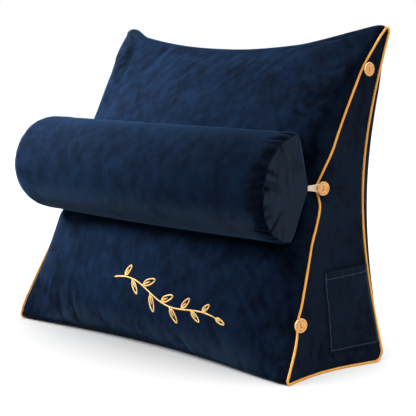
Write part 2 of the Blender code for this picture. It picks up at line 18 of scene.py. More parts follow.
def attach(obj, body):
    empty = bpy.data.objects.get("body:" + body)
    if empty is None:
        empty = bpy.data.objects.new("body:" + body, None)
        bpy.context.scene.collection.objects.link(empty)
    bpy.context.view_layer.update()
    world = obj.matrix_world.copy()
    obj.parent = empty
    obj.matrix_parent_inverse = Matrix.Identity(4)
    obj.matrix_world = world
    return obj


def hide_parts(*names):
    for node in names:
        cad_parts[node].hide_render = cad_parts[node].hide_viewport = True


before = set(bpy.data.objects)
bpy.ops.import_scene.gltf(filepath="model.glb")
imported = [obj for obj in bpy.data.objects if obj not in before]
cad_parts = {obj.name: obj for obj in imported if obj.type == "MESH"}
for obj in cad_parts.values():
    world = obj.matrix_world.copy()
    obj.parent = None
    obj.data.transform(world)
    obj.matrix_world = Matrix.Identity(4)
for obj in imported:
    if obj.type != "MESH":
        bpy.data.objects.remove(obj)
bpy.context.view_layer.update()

SIDES = {"right": 1.0, "left": -1.0}
COLUMN = {"right": 1, "left": 2}      # of the tables that have a column for each side
rng = np.random.default_rng(20261123)

# ---- wedge cushion, as cut for the frame
BASE_WIDTH = 0.600
TOP_WIDTH = 0.562
HEIGHT = 0.492
DEPTH = 0.217
TOP_OVERHANG = 0.021          # the ears stand this far behind the depth
EAR_DROP = {"right": 0.0, "left": 0.0025}  # how much lower each ear is than the height
SEAM_LIFT = 0.0030            # height of the base seams above the floor
FRONT_DRAW = (                # (share of the height, right, left): how far each front seam is drawn in
    (0.000, 0.0000, 0.0000),
    (0.050, -0.0004, -0.0028),
    (0.108, 0.0010, 0.0012),
    (0.130, 0.0028, 0.0027),
    (0.164, 0.0084, 0.0055),
    (0.205, 0.0088, 0.0092),
    (0.250, 0.0112, 0.0128),
    (0.330, 0.0163, 0.0180),
    (0.380, 0.0196, 0.0210),
    (0.420, 0.0200, 0.0225),
    (0.465, 0.0217, 0.0245),
    (0.505, 0.0257, 0.0265),
    (0.540, 0.0282, 0.0282),
    (0.658, 0.0290, 0.0290),
    (0.820, 0.0228, 0.0215),
    (0.880, 0.0192, 0.0163),
    (0.943, 0.0100, 0.0065),
    (1.000, 0.0000, 0.0030),
)
CREST = (                     # the same columns: how steeply the front rises from its seam, 1 a full crown
    (0.00, 0.00, 0.00),
    (0.05, 0.55, 0.10),
    (0.12, 0.90, 0.15),
    (0.22, 1.00, 0.30),
    (0.36, 1.00, 0.55),
    (0.50, 1.00, 1.00),
    (0.86, 1.00, 1.00),
    (0.95, 0.55, 0.70),
    (1.00, 0.00, 0.00),
)
LOOP_UP = 0.530               # share of the height at which the bolster's loops pull the front seams in
LOOP_PULL = 0.0130            # how far they do, and over what share of the height
LOOP_PULL_SPAN = {"above": 0.115, "below": 0.050}
BACK_DRAW = 0.0425            # how far the back seams are drawn in half-way up, and the base half-way back
BASE_DRAW = 0.0120
FOOT_FORWARD = 0.004          # the front seams' feet stand this far forward of the depth
HEEL_FORWARD = 0.0190         # the heels, the back corners of the base, stand this far forward of it
HEEL_WIDE = 0.0105            # how far the heels stand out beyond the feet
SEAM_FORWARD = 0.006          # the front seam also stands this far forward of its chord
SEAM_RADII = (0.0035, 0.005, 0.014)  # of its corners: foot, ear and heel
MIDDLE_RADII = (0.017, 0.022, 0.028)  # the same half-way across, where the panel just rolls over
TOP_DIP = 0.033               # how far the top edge dips between the ears
DIP_CURVE = {"right": 1.7, "left": 2.2}  # power of the panel's rise from its seams where it slopes softly
FULL_CURVE = 3.3              # and where it is fully crowned
FULL_POWER = 0.40             # a second power on that rise, fully crowned
LOW_POWER = 1.6               # keeps the foot square for a way in from its corners
TOP_FORWARD = 0.004           # the middle of the top stands this far forward of the ears
FRONT_TUCK = -0.0020          # the middle of the base stands this far in at the front, and at the back
BACK_TUCK = 0.0150
FRONT_CROWN = 0.057           # how far each panel swells out half-way
BACK_CROWN = 0.042
GUSSET_CROWN = 0.009
SHOULDER = {                  # (share along the edge, right, left): how far the cover puffs up beside it
    "foot": ((0.0, 0.0030, 0.0010),),
    "front": (
        (0.00, 0.0040, 0.0000),
        (0.12, 0.0048, 0.0005),
        (0.20, 0.0053, 0.0075),
        (0.40, 0.0065, 0.0125),
        (0.70, 0.0065, 0.0020),
        (0.90, 0.0075, 0.0170),
        (1.00, 0.0075, 0.0160),
    ),
    "ear": ((0.0, 0.0070, 0.0085),),
    "back": ((0.0, 0.0075, 0.0060),),
    "heel": ((0.0, 0.0030, 0.0030),),
    "base": ((0.0, 0.0000, 0.0000),),
}
SHOULDER_WIDE = {"right": 0.60, "left": 0.17}      # over what share of the half width it does
SHOULDER_END = 0.97           # share of the half width at which it is full
EDGE_STEPS = 70               # mesh steps up an edge, round half a corner, along the base, over the ear
CORNER_STEPS = 3
BASE_STEPS = 24
TOP_STEPS = BASE_STEPS + 2 * CORNER_STEPS
ACROSS = 90                   # and from seam to seam
ACROSS_EVEN = 0.45            # how even these steps are: 1 for equal ones
WEDGE_FILL = {"growth": 0.07, "pressure": 1.0, "cap": 0.006}
WEDGE_FILL_REACH = 0.035      # how far from the seams the extra cloth goes
BEHIND_FRONT = -0.12          # from the bolster's middle line: beyond it the cover isn't the front panel

# ---- bolster
BOLSTER_RADIUS = 0.0790
BOLSTER_HALF = 0.2770         # half its length
BOLSTER_Y = 0.049 - DEPTH / 2
BOLSTER_Z = 0.267
BOLSTER_FLAT = 0.043          # depth behind its middle line at which it is pressed flat on the cushion
FLAT_SOFT = 0.004
FLAT_HELD = 0.002             # the cover is held up to this far in front of the flat
FLAT_FREE = 0.020             # and quite free from here
BOLSTER_PULL = 1.30           # the back of each end is pulled in by this share of its depth
PULL_BEHIND = 0.006
PULL_SOFT = 0.010
BOLSTER_SAG = {"right": 0.14, "left": 0.04}  # and its foot by this share of its drop
BOLSTER_LIFT = {"right": 0.0, "left": 0.055}  # how far that foot is raised, as a share
BOLSTER_TAPER = {"right": 0.024, "left": 0.014}  # how much narrower each end is, as a share
TUBE_TAPER = 0.004            # and how much narrower the tube grows on the way there
CAP_BULGE = 0.0064            # scale of the swell between a cap's seam and its tip
CAP_SWELL = 2.2               # the greater, the nearer the seam it swells
CAP_CROWD = 1.15              # the greater, the closer its mesh rings stand to the seam
CAP_TIP = (0.2582, 0.0890 - DEPTH / 2, 0.2635)  # where the loop pulls the cap out
AROUND = 132                  # mesh steps round it, along it and in to a cap's tip
ALONG = 104
CAP_RINGS = 20
ALONG_EVEN = 0.5              # how even the steps along it are
CLOTH_GAP = 0.0083            # between the bolster and the front panel
PRESS_SOFT = 0.006            # how softly the panel gives way to the bolster
PRESS_REACH = 0.030           # how far above and below the bolster it does
PRESS_DEEPER = 0.004          # how much deeper it is pressed at the very middle
PRESS_EDGE = 0.005            # how far inside the bolster's outline its cloth starts to be free
BOLSTER_FILL = {"growth": 0.12, "pressure": 1.5, "cap": 0.006}
BOLSTER_FILL_REACH = 0.025
GATHERS = {"right": 34, "left": 22}     # round each end seam
GATHER_LONG = (0.020, 0.048)  # from the shortest to the longest, and so on
GATHER_WIDE = (0.0022, 0.0038)
GATHER_DEEP = {"right": (0.0016, 0.0046), "left": (0.0003, 0.0012)}
GATHER_MORE_UP = 0.35         # how much deeper they are at the top than at the middle
GATHER_PUFF = 0.0014          # how far the tube puffs out beyond its gathers
CAP_CREASE = 0.75             # depth of the cap's creases, as a share of their gathers'
CAP_CREASED = 0.60            # the share of gathers that run on over the seam
GATHER_LEAN = 2.2             # the most that one turns on its way, in radians a metre
GATHER_ON_CAP = (0.20, 0.55)  # how far towards the cap's tip a crease runs
GATHER_AT_SEAM = 0.55         # share of its depth that a gather has right at the seam

# ---- painted shade and painted light: the crease note darkens the nap in folds and shaded places, and painted light makes it greyer and lighter where room and floor light it
CREASE_FULL = 0.0022          # depth at which a fold's painted shade is darkest
RIGHT_SHADE = 0.24            # painted shade: how much darker the front is beside its right seam
FOOT_SHADE = 0.55             # and at its left foot
GATHER_SHADE = 0.55           # and the tube beside its right end
# painted light: how much greyer and lighter the nap is painted on the gusset
GUSSET_PAINTED_LIGHT = 0.34
BESIDE_PAINTED_LIGHT = 0.25            # painted light on the front beside its right seam, as a share of the gusset's
# and on the pocket, which lies on the gusset
POCKET_PAINTED_LIGHT = 0.36
RIM_PAINTED_LIGHT = 0.38               # painted sheen along the front's left edge
LOW_PAINTED_LIGHT = 0.48               # painted light off the floor along the front's lower roll
UNDER_PAINTED_LIGHT = 0.58             # painted light off the floor on the bolster's underside
CAP_PAINTED_LIGHT = 1.0                # painted light on its end discs
FADES = {                     # where each effect starts and where it is full
    # by share of the way up the front edge, and down the back one
    "low front": (0.3, 0.0),
    "low back": (0.7, 1.0),
    # by a component of the surface's normal
    "faces front": (0.25, 0.60),
    "faces right": (0.80, 0.95),
    "faces sideways": (0.75, 0.90),
    "faces down": (-0.15, -0.75),
    # by height
    "foot": (0.020, 0.000),
    "lower roll": (0.060, 0.010),
    "above the foot": (0.040, 0.140),
    # by distance from the seam, or for the left foot from its corner
    "folds": (0.002, 0.012),
    "pale beside": (0.060, 0.010),
    "shade beside": (0.120, 0.015),
    "left foot": (0.105, 0.020),
    "away from the feet": (0.020, 0.120),
    "behind the seam": (0.000, 0.006),
    "left rim": (0.045, 0.010),
    # by distance from the bolster's end seam
    "gather": (0.000, 0.006),
    "puff": (0.000, 0.008),
    "past the puff": (0.010, 0.045),
    "painted_end_shade": (0.050, 0.004),
    "over the seam": (0.010, 0.000),
}

# ---- trims
PIPING_RADIUS = 0.00172
PIPING_OFF = 0.0018           # its middle line's distance from its seam
PIPING_STEP = 0.0017
PIPING_SIDES = 12
PIPING_UNEVEN = 0.035         # of its radius, as a share
PIPING_LIFT = 0.0002          # its least height above what the pillow stands on
GUSSET_NEAR = 2               # columns and rows in from the seam that show which way the gusset leaves it
GUSSET_NEAR_UP = 3
WRAP_NEAR = 0.948             # share of the half width at which the wrap shows the same
BUTTON_RADIUS = 0.0104
BUTTON_THICK = 0.0036
BUTTON_RIM = 0.97             # share of the radius beyond which the frame's button is its rim
BUTTON_RIM_UP = 0.72          # height of that rim's front edge, as a share of the thickness
BUTTON_PROFILE = (            # (share of the radius, height), from the middle of the face round to the back
    (0.0, 0.0019),
    (0.36, 0.0019),
    (0.49, 0.0021),
    (0.55, 0.0027),
    (0.61, 0.0029),
    (0.67, 0.0027),
    (0.71, 0.0023),
    (0.75, 0.0026),
    (0.8, 0.0033),
    (0.87, 0.0036),
    (0.94, 0.0034),
    (0.985, 0.0027),
    (1, 0.0018),
    (0.98, 0.0009),
    (0.92, 0.0003),
    (0.82, 0.0000),
    (0.0, 0.0000),
)
BUTTON_STEPS = 56
BUTTON_LEAN = 0.5             # the most that its stitches lean, in radians
HOLE_RADIUS = 0.00125
HOLE_APART = 0.0024           # each hole's distance from the middle
DRILL_REACH = (-0.002, 0.006)  # height of both ends of the drill
THREAD_RADIUS = 0.00042
THREAD_APART = 0.0004         # of each stitch from the middle of the face
THREAD_RISE = (0.0009, 0.0015)      # where a stitch starts in its hole, and how far it rises from there
SHANK_STRANDS = 6
SHANK_RADIUS = 0.0007         # of one strand
SHANK_WAIST = 0.0011          # from the shank's middle to its strands, where it is narrowest
SHANK_FLARE = 0.0005          # how much further out they are at both ends
SHANK_TOP = 0.0004            # how far the shank starts inside the button's back
SHANK_TWIST = 1.2             # radians from end to end
SHANK_SUNK = 0.0015           # how far the shank goes into the cover
SHANK_LONG = 0.008            # its length where it meets no cover
LOOP_DEEP = 0.0036            # middle of the loop's cord behind the back of its button
LOOP_STEP = 0.0007
LOOP_REACH = 0.0030           # its legs spread from this far outside the cap's tip
LOOP_TUCK = 0.0045            # and start this much further in
LOOP_SPREAD = (0.0018, 0.0040)      # of the cord from the middle line, at the cap and at the button
LOOP_HALF = (0.0023, 0.0030)        # half the cord's width at each
LOOP_THICK = (0.0012, 0.0014)  # and half its thickness
POCKET_LOW = 0.0255
POCKET_HIGH = 0.1412
POCKET_FRONT = 0.0965 - DEPTH / 2
POCKET_BACK = 0.1995 - DEPTH / 2
POCKET_WIDE = POCKET_BACK - POCKET_FRONT
POCKET_TALL = POCKET_HIGH - POCKET_LOW
POCKET_LEAN = 0.0065          # its top stands this far behind its foot
POCKET_THICK = 0.0015
POCKET_GAPE = 0.0050          # how far its mouth stands open
POCKET_STEPS = 56
POCKET_ROUNDS = 60            # of averaging, so that it spans the small folds of the cover
POCKET_OFF = 0.0006           # its edges stand this far off the cover
POCKET_PUFF = 0.0012          # and the rest of it this much further
POCKET_ROUND = 0.0018         # over this distance from its edges, and from its mouth
HEM_ROUND = 0.0015
HEM_LIP = 0.0004              # so that its mouth isn't quite as low as its edges
HEM_RIPPLE = 0.0005           # height of its ripples along the hem, and along the edges
EDGE_RIPPLE = 0.0004
STITCH_SINK = 0.0007          # how deep the topstitching draws it in
HEM = 0.0100
STITCH_IN = 0.0040            # topstitching runs this far in from the pocket's edges
STITCH_LONG = 0.0027
STITCH_APART = 0.0036
STITCH_DENT = 0.0012          # half the width of the dent along it
STITCH_RADII = (0.00034, 0.00030)  # half its width and thickness
STITCH_PROUD = 0.00035        # height of its middle off the cloth
STITCH_DIP = 0.0009           # how much lower its ends are

SPRIG_START = (-0.072, 0.102)     # x and z of the end of its stem
SPRIG_LONG = 0.225
SPRIG_SLANT = -0.16           # radians
SPRIG_WAVE = 0.010
SPRIG_WIDE = 0.00115          # half the width and thickness of its stitching
SPRIG_THICK = 0.00075
SPRIG_STEP = 0.0009
Leaf = namedtuple("Leaf", "at turn long wide")      # share of the stem, degrees, metres, half width
SPRIG_LEAVES = (
    Leaf(0.10, 48, 0.024, 0.0042),
    Leaf(0.18, -50, 0.026, 0.0046),
    Leaf(0.29, 46, 0.031, 0.0052),
    Leaf(0.38, -46, 0.030, 0.0052),
    Leaf(0.49, 44, 0.030, 0.0050),
    Leaf(0.58, -44, 0.029, 0.0050),
    Leaf(0.69, 42, 0.026, 0.0044),
    Leaf(0.78, -42, 0.024, 0.0042),
    Leaf(0.88, 40, 0.020, 0.0036),
    Leaf(1.00, -6, 0.022, 0.0036),
)

# Groups of soft folds: where the first and the last start, how far each runs, how far it may stray.
Folds = namedtuple("Folds", "count first last run stray wide deep bow")
FOLDS = (                     # on the front, by x and z
    Folds(44, (-0.245, 0.466), (0.130, 0.452), (-0.026, -0.038), 0.012, 0.0046, 0.0004, 0.10),
    Folds(11, (-0.262, 0.455), (-0.205, 0.458), (-0.026, -0.052), 0.006, 0.0036, 0.0002, -0.20),
    Folds(13, (0.235, 0.330), (0.258, 0.470), (-0.052, 0.020), 0.010, 0.0038, 0.0010, 0.16),
    Folds(7, (0.235, 0.215), (0.262, 0.120), (-0.045, 0.028), 0.008, 0.0042, 0.0005, 0.12),
    Folds(10, (0.288, 0.016), (0.270, 0.095), (-0.055, 0.044), 0.010, 0.0046, 0.0004, 0.14),
    Folds(8, (-0.292, 0.080), (-0.185, 0.070), (0.036, -0.054), 0.006, 0.0050, 0.0010, -0.15),
    Folds(28, (-0.150, 0.050), (0.245, 0.052), (0.026, -0.036), 0.009, 0.0046, 0.0006, -0.12),
)
GUSSET_FOLDS = (              # on the right gusset, by y and z
    Folds(6, (-0.002, 0.268), (-0.004, 0.246), (0.048, -0.030), 0.008, 0.0040, 0.0006, 0.12),
    Folds(5, (0.088, 0.430), (0.080, 0.395), (0.020, -0.060), 0.006, 0.0048, 0.0002, 0.10),
    Folds(6, (-0.080, 0.012), (0.060, 0.010), (0.012, 0.040), 0.008, 0.0042, 0.0005, 0.10),
)
FOLD_RIDGE = 0.55             # height of the ridge beside a fold, as a share of the fold's depth
FOLD_RIDGE_OFF = 2.1          # its distance from the fold, in widths of the fold

# ---- cloth and light
COVER_FRAMES = 20             # how long the cloth simulation runs
CLOTH = {
    "quality": 5, "mass": 0.2, "tension_stiffness": 30, "compression_stiffness": 30, "shear_stiffness": 10,
    "bending_stiffness": 0.08, "use_pressure": True, "shrink_min": 0.0,
}
BROAD_ROUNDS = 40             # of blurring, which leaves the broad swelling that is taken out
NAP_PATCHES = 0.34            # how much of the nap's lightness the velvet's patches give
NAP_LAYERS = (0.46, 0.09, 0.10, 0.34)       # and its mottle, brushed lines, streaks and speckle
NAP_DARKER = -0.11
NAP_CREASE = -0.75            # painted shade: how much darker a crease is, on the navy and on the greyer painted-light nap
PALE_CREASE = -0.8
PALE_BY_NAP = (1.1, 0.48)     # the painted light's greyer nap: its lightness is this much for each unit of nap, from this start
SHEEN = 0.11
SHEEN_TINT = (0.13, 0.44, 1, 1)
WHITE = (1, 1, 1, 1)
FLOOR_COLOUR = (0.92, 0.92, 0.92, 1)
CAMERA_LENS = 105.2307692     # mm, on a sensor 36 mm wide
CAMERA_PLACE = (1.362, -1.3495, 0.469)
CAMERA_YAW = 44.44            # degrees to the left of looking along +Y
CAMERA_PITCH = 7.73           # degrees down
ROOM_LIGHT = 0.26             # what the white world gives, evenly from all round
SKY_LIGHT = 3.9               # a very broad sun overhead
SKY_TARGET = (0.1, 0.1, 0)
SKY_SPREAD = 110              # degrees, as is the key's
KEY_PLACE = (-1.05, -0.64, 0.98)
KEY_TARGET = (-0.30, 0.0, 0.36)
KEY_SIZE = 0.5
KEY_SPREAD = 40
KEY_LIGHT = 9.8
KEY_COLOUR = (0.76, 0.89, 1)
BOUNCE_PLACE = (-0.3, -1.2, 0.01)       # more light off the floor, for the undersides
BOUNCE_SIZE = 2.2
BOUNCE_LIGHT = 5


# ---------------------------------------------------------------- small helpers
def unit(vector):
    vector = np.asarray(vector, float)
    return vector / np.linalg.norm(vector)


def mix(first, second, share):
    return first + (second - first) * share


def hump(share, power=1.0):
    return math.sin(math.pi * min(max(share, 0.0), 1.0)) ** power


def smooth(start, end, value):
    t = np.clip((value - start) / (end - start), 0, 1)
    return t * t * (3 - 2 * t)


def from_table(rows, side, at):
    """Smooth curve through a short table of (place, right, left) rows."""
    xs, ys = np.array(rows)[:, [0, COLUMN[side]]].T
    slopes = np.gradient(ys, xs)
    at = min(max(at, xs[0]), xs[-1])
    i = int(min(max(np.searchsorted(xs, at) - 1, 0), len(xs) - 2))
    span = xs[i + 1] - xs[i]
    t = (at - xs[i]) / span
    start = (2 * t**3 - 3 * t**2 + 1) * ys[i] + (t**3 - 2 * t**2 + t) * span * slopes[i]
    end = (3 * t**2 - 2 * t**3) * ys[i + 1] + (t**3 - t**2) * span * slopes[i + 1]
    return start + end


def fade(name, value):
    return smooth(*FADES[name], value)


def above_zero(value, softness):
    """The value where it is well above 0, 0 where it is well below, and eased in between."""
    return softness * math.log1p(math.exp(min(value / softness, 60.0)))


def eased(values, rounds, closed=True):
    """Values averaged along a line with their neighbours, again and again."""
    for _ in range(rounds):
        middle = (np.roll(values, 1, 0) + 2 * values + np.roll(values, -1, 0)) / 4
        if not closed:
            middle[0], middle[-1] = values[0], values[-1]
        values = middle
    return values


def unit_rows(rows):
    return rows / np.linalg.norm(rows, axis=1)[:, None]


def side_of(share):
    return "right" if share > 0 else "left"


def fillet(corner, before, after, radius):
    """Arc that rounds one corner of a flat outline: its centre and its two ends."""
    toward_before = unit(before - corner)
    toward_after = unit(after - corner)
    half = math.acos(float(np.clip(toward_before @ toward_after, -1, 1))) / 2
    centre = corner + unit(toward_before + toward_after) * radius / math.sin(half)
    reach = radius / math.tan(half)
    return centre, corner + toward_before * reach, corner + toward_after * reach


def along_arc(centre, start, end, share):
    first = math.atan2(*(start - centre)[::-1])
    turn = math.atan2(*(end - centre)[::-1]) - first
    turn = (turn + math.pi) % (2 * math.pi) - math.pi
    radius = np.linalg.norm(start - centre)
    angle = first + turn * share
    return centre + radius * np.array([math.cos(angle), math.sin(angle)])


def triangle_outline(corners, radii):
    """Rounded triangle in the Y-Z plane, from its front foot up, over the ear, down and forward.

    It is a list of rows: (point, edge, share along the edge).
    """
    front, ear, back = [np.array(corner) for corner in corners]
    foot = fillet(front, back, ear, radii[0])
    top = fillet(ear, front, back, radii[1])
    heel = fillet(back, ear, front, radii[2])

    def arc(corner, first, last, steps, edge):
        return [(along_arc(*corner, mix(first, last, k / steps)), edge, k / steps) for k in range(steps)]

    def straight(start, end, steps, edge):
        return [(mix(start, end, k / steps), edge, k / steps) for k in range(steps)]

    return (
        arc(foot, 0.5, 1.0, CORNER_STEPS, "foot")
        + straight(foot[2], top[1], EDGE_STEPS, "front")
        + arc(top, 0.0, 1.0, TOP_STEPS, "ear")
        + straight(top[2], heel[1], EDGE_STEPS, "back")
        + arc(heel, 0.0, 1.0, 2 * CORNER_STEPS, "heel")
        + straight(heel[2], foot[1], BASE_STEPS, "base")
        + arc(foot, 0.0, 0.5, CORNER_STEPS, "foot")
    )


def ear_corner(front, ear, back, radius):
    """Move a sharp ear out along its middle line so that rounding it keeps its height."""
    front, ear, back = np.array(front), np.array(ear), np.array(back)
    toward = unit(unit(ear - front) + unit(ear - back))
    half = math.acos(float(unit(ear - front) @ unit(ear - back))) / 2
    return ear + toward * (radius / math.sin(half) - radius)


# ---------------------------------------------------------------- wedge surfaces
def seam_half_width(z):
    return mix(BASE_WIDTH, TOP_WIDTH, z / HEIGHT) / 2


def loop_pull(z):
    past = z / HEIGHT - LOOP_UP
    span = LOOP_PULL_SPAN["above" if past > 0 else "below"]
    return LOOP_PULL * max(0.0, 1 - abs(past) / span) ** 1.4


def seam_rows(side):
    """A gusset seam, as if on the right: rows of (point, edge, share along the edge)."""
    front = (-DEPTH / 2 - FOOT_FORWARD, SEAM_LIFT)
    back = (DEPTH / 2 - HEEL_FORWARD, SEAM_LIFT)
    ear = ear_corner(front, (DEPTH / 2 + TOP_OVERHANG, HEIGHT - EAR_DROP[side]), back, SEAM_RADII[1])
    outward = unit((-HEIGHT, DEPTH + TOP_OVERHANG))
    rows = []
    for point, edge, share in triangle_outline((front, ear, back), SEAM_RADII):
        draw = 0.0
        shift = np.zeros(2)
        if edge == "front":
            shift = outward * SEAM_FORWARD * hump(share)
            up = (point + shift)[1] / HEIGHT
            draw = from_table(FRONT_DRAW, side, up) + loop_pull(up * HEIGHT)
        if edge == "back":
            draw = BACK_DRAW * hump(share) - HEEL_WIDE * share
        if edge == "heel":
            draw = -HEEL_WIDE
        if edge == "base":
            draw = BASE_DRAW * hump(share) - HEEL_WIDE * (1 - share)
        y, z = point + shift
        rows.append((np.array([seam_half_width(z) - draw, y, z]), edge, share))
    return rows


def middle_points():
    """The same loop half-way across, where the crown is highest and the top edge dips."""
    front = np.array([-DEPTH / 2 + FRONT_TUCK, 0.0])
    back = np.array([DEPTH / 2 - BACK_TUCK, 0.0])
    ear = np.array([DEPTH / 2 + TOP_OVERHANG - TOP_FORWARD, HEIGHT])
    ear = ear_corner(front, ear, back, MIDDLE_RADII[1])
    front_out = unit((-(ear - front)[1], (ear - front)[0]))
    back_out = unit((-(back - ear)[1], (back - ear)[0]))
    rows = triangle_outline((front, ear, back), MIDDLE_RADII)
    points = []
    for point, edge, share in rows:
        if edge == "front":
            point = point + front_out * FRONT_CROWN * hump(share, 0.7)
        if edge == "back":
            point = point + back_out * BACK_CROWN * hump(share, 0.8)
        points.append(point)
    points = np.array(points)
    base = np.array([edge == "base" for _, edge, _ in rows])
    for _ in range(30):
        points[~base] = eased(points, 1)[~base]
    points[:, 1] = np.maximum(points[:, 1], 0.0) * (HEIGHT - TOP_DIP) / points[:, 1].max()
    return points


def bolster_frame():
    """Directions in the Y-Z plane: away from the front panel, and up along it."""
    along = unit((DEPTH + TOP_OVERHANG + FOOT_FORWARD, HEIGHT))
    return np.array([-along[1], along[0]]), along


def from_bolster(points):
    """Each point's distance from the bolster's middle line: away from the front panel, and up along it."""
    away, along = bolster_frame()
    offset = points[:, 1:] - (BOLSTER_Y, BOLSTER_Z)
    return offset @ away, offset @ along


def pressed_by_bolster(y, z, half_width_share):
    """Keep the front panel behind the bolster that lies against it."""
    away, along = bolster_frame()
    offset = np.array([y - BOLSTER_Y, z - BOLSTER_Z])
    across = float(offset @ along)
    depth = float(offset @ away)
    if abs(across) > BOLSTER_RADIUS + PRESS_REACH:
        return y, z
    chord = math.sqrt(max(BOLSTER_RADIUS**2 - across**2, 0.0))
    limit = -min(chord, BOLSTER_FLAT) - CLOTH_GAP
    limit -= PRESS_DEEPER * max(0.0, 1 - abs(across) / BOLSTER_RADIUS) * (1 - half_width_share)
    pressed = min(limit - above_zero(limit - depth, PRESS_SOFT), depth)
    held = 1 - half_width_share ** 14
    pushed = np.array([BOLSTER_Y, BOLSTER_Z]) + along * across + away * mix(depth, pressed, held)
    return float(pushed[0]), float(pushed[1])


def wrap_shares(steps, even):
    """From -1 to 1 in steps that close up towards both ends, the less so the greater even is."""
    spread = np.linspace(-1, 1, steps + 1)
    return (1 - even) * np.sin(spread * math.pi / 2) + even * spread


def outward_directions(outline):
    """Unit normals of a closed outline in the Y-Z plane, eased round its corners."""
    ahead = np.roll(outline, -1, 0) - np.roll(outline, 1, 0)
    return unit_rows(eased(np.stack([-ahead[:, 1], ahead[:, 0]], 1), 4))


def shoulders(rows, side):
    """How far the cover puffs out beside the seam at each point of it, as a vector in the Y-Z plane."""
    height = [
        np.interp(share, *np.array(SHOULDER[edge])[:, [0, COLUMN[side]]].T) for _, edge, share in rows
    ]
    outline = np.array([row[0][1:] for row in rows])
    return outward_directions(outline) * eased(np.array(height), 12)[:, None]


def crest(edge, up, side):
    if edge == "front":
        return from_table(CREST, side, up)
    return min(1.0, 2.4 * hump(up)) ** 0.6 if edge == "back" else 0.0


def lowness(edge, up):
    """1 along the base and its corners, fading to 0 up the front and the back."""
    if edge in ("front", "back"):
        return fade("low " + edge, up)
    return 0.0 if edge == "ear" else 1.0


def wrap_point(row, middle, shoulder, share):
    """Point of the wrap panel, share of the way from the middle to the seam: -1 left, 1 right."""
    seam, edge, up = row
    side = side_of(share)
    bulge = crest(edge, up, side)
    sharp = mix(DIP_CURVE[side], FULL_CURVE, bulge)
    power = mix(mix(1.0, LOW_POWER, lowness(edge, up)), FULL_POWER, bulge)
    rise = (1 - abs(share) ** sharp) ** power
    puff = (1 - abs(share) ** 60) * smooth(1 - SHOULDER_WIDE[side], SHOULDER_END, abs(share))
    y, z = mix(seam[1:], middle, rise) + shoulder * puff
    if edge == "base":
        z = SEAM_LIFT * abs(share) ** 12
    if edge == "front":
        y, z = pressed_by_bolster(y, z, abs(share))
    return share * seam[0], y, max(z, 0.0)


def gusset_grid(seam):
    """Right gusset as rows of points from the base seam up to the ear, each from front to back."""
    edge = EDGE_STEPS + CORNER_STEPS
    front = seam[:edge + 1]
    ear = seam[edge:edge + TOP_STEPS + 1]
    back = seam[edge + TOP_STEPS:2 * edge + TOP_STEPS + 1][::-1]
    base = (seam[2 * edge + TOP_STEPS:] + seam[:1])[::-1]
    grid = []
    for j in range(edge + 1):
        up = j / edge
        row = []
        for i in range(TOP_STEPS + 1):
            over = i / TOP_STEPS
            ruled = mix(front[j], back[j], over)
            lofted = mix(base[i], ear[i], up)
            corners = mix(mix(base[0], base[-1], over), mix(ear[0], ear[-1], over), up)
            point = ruled + lofted - corners
            point[0] += loop_pull(point[2]) * (1 - over - (1 - over) ** 2.5)
            point[0] += GUSSET_CROWN * hump(over) * (1 - up) * (1 - (1 - up) ** 6)
            row.append(point)
        grid.append(row)
    return grid


# ---------------------------------------------------------------- meshes
def new_piece(name, verts, faces, paint=None, lie=None):
    """Mesh object; lie gives each face corner's (length, turn), for patterns that follow a cord."""
    mesh = bpy.data.meshes.new(name)
    mesh.from_pydata([tuple(v) for v in verts], [], faces)
    mesh.shade_smooth()
    if lie is not None:
        mesh.uv_layers.new(name="lie").data.foreach_set("uv", np.asarray(lie, float).ravel())
    piece = bpy.data.objects.new(name, mesh)
    bpy.context.scene.collection.objects.link(piece)
    if paint is not None:
        mesh.materials.append(paint)
    return piece


def closed_piece(*parts):
    """The same, with every face turned outward."""
    piece = new_piece(*parts)
    work = bmesh.new()
    work.from_mesh(piece.data)
    bmesh.ops.recalc_face_normals(work, faces=work.faces)
    if work.calc_volume(signed=True) < 0:
        bmesh.ops.reverse_faces(work, faces=work.faces)
    work.to_mesh(piece.data)
    work.free()
    return piece


def ring_faces(first, second, count):
    """Quads between two closed rings of vertex numbers."""
    return [(first[i], first[(i + 1) % count], second[(i + 1) % count], second[i]) for i in range(count)]


def fan_faces(ring, middle):
    """Triangles from a closed ring of vertex numbers to one vertex."""
    return [(first, second, middle) for first, second in zip(ring, [*ring[1:], ring[0]])]


def grid_faces(numbers):
    """Quads of a grid of vertex numbers."""
    corners = numbers[:-1, :-1], numbers[:-1, 1:], numbers[1:, 1:], numbers[1:, :-1]
    return np.stack(corners, 2).reshape(-1, 4)


def read(rows, name, width):
    """A value of every point or face of a mesh, as one array."""
    values = np.empty(len(rows) * width)
    rows.foreach_get(name, values)
    return values.reshape(-1, width)


def positions(piece):
    return read(piece.data.vertices, "co", 3)


def normals_of(piece):
    return read(piece.data.vertex_normals, "vector", 3)


def move_to(piece, points):
    piece.data.vertices.foreach_set("co", np.asarray(points, float).ravel())
    piece.data.update()


def apply_modifiers(piece):
    graph = bpy.context.evaluated_depsgraph_get()
    made = bpy.data.meshes.new_from_object(piece.evaluated_get(graph))
    old = piece.data
    piece.modifiers.clear()
    piece.data = made
    made.name = piece.name
    bpy.data.meshes.remove(old)


def seam_distance(points, seam):
    """Distance of each point from the nearest sewn point."""
    tree = KDTree(len(seam))
    for k, number in enumerate(seam):
        tree.insert(points[number], k)
    tree.balance()
    return np.array([tree.find(point)[2] for point in points])


def blurred(piece, values, rounds):
    """Values averaged over the mesh's edges, again and again."""
    ends = np.empty(len(piece.data.edges) * 2, int)
    piece.data.edges.foreach_get("vertices", ends)
    first, second = ends.reshape(-1, 2).T
    count = len(values)
    degree = np.bincount(first, minlength=count) + np.bincount(second, minlength=count)
    for _ in range(rounds):
        total = np.stack([
            np.bincount(first, values[second, k], count) + np.bincount(second, values[first, k], count)
            for k in range(3)
        ], 1)
        values = 0.4 * values + 0.6 * total / degree[:, None]
    return values


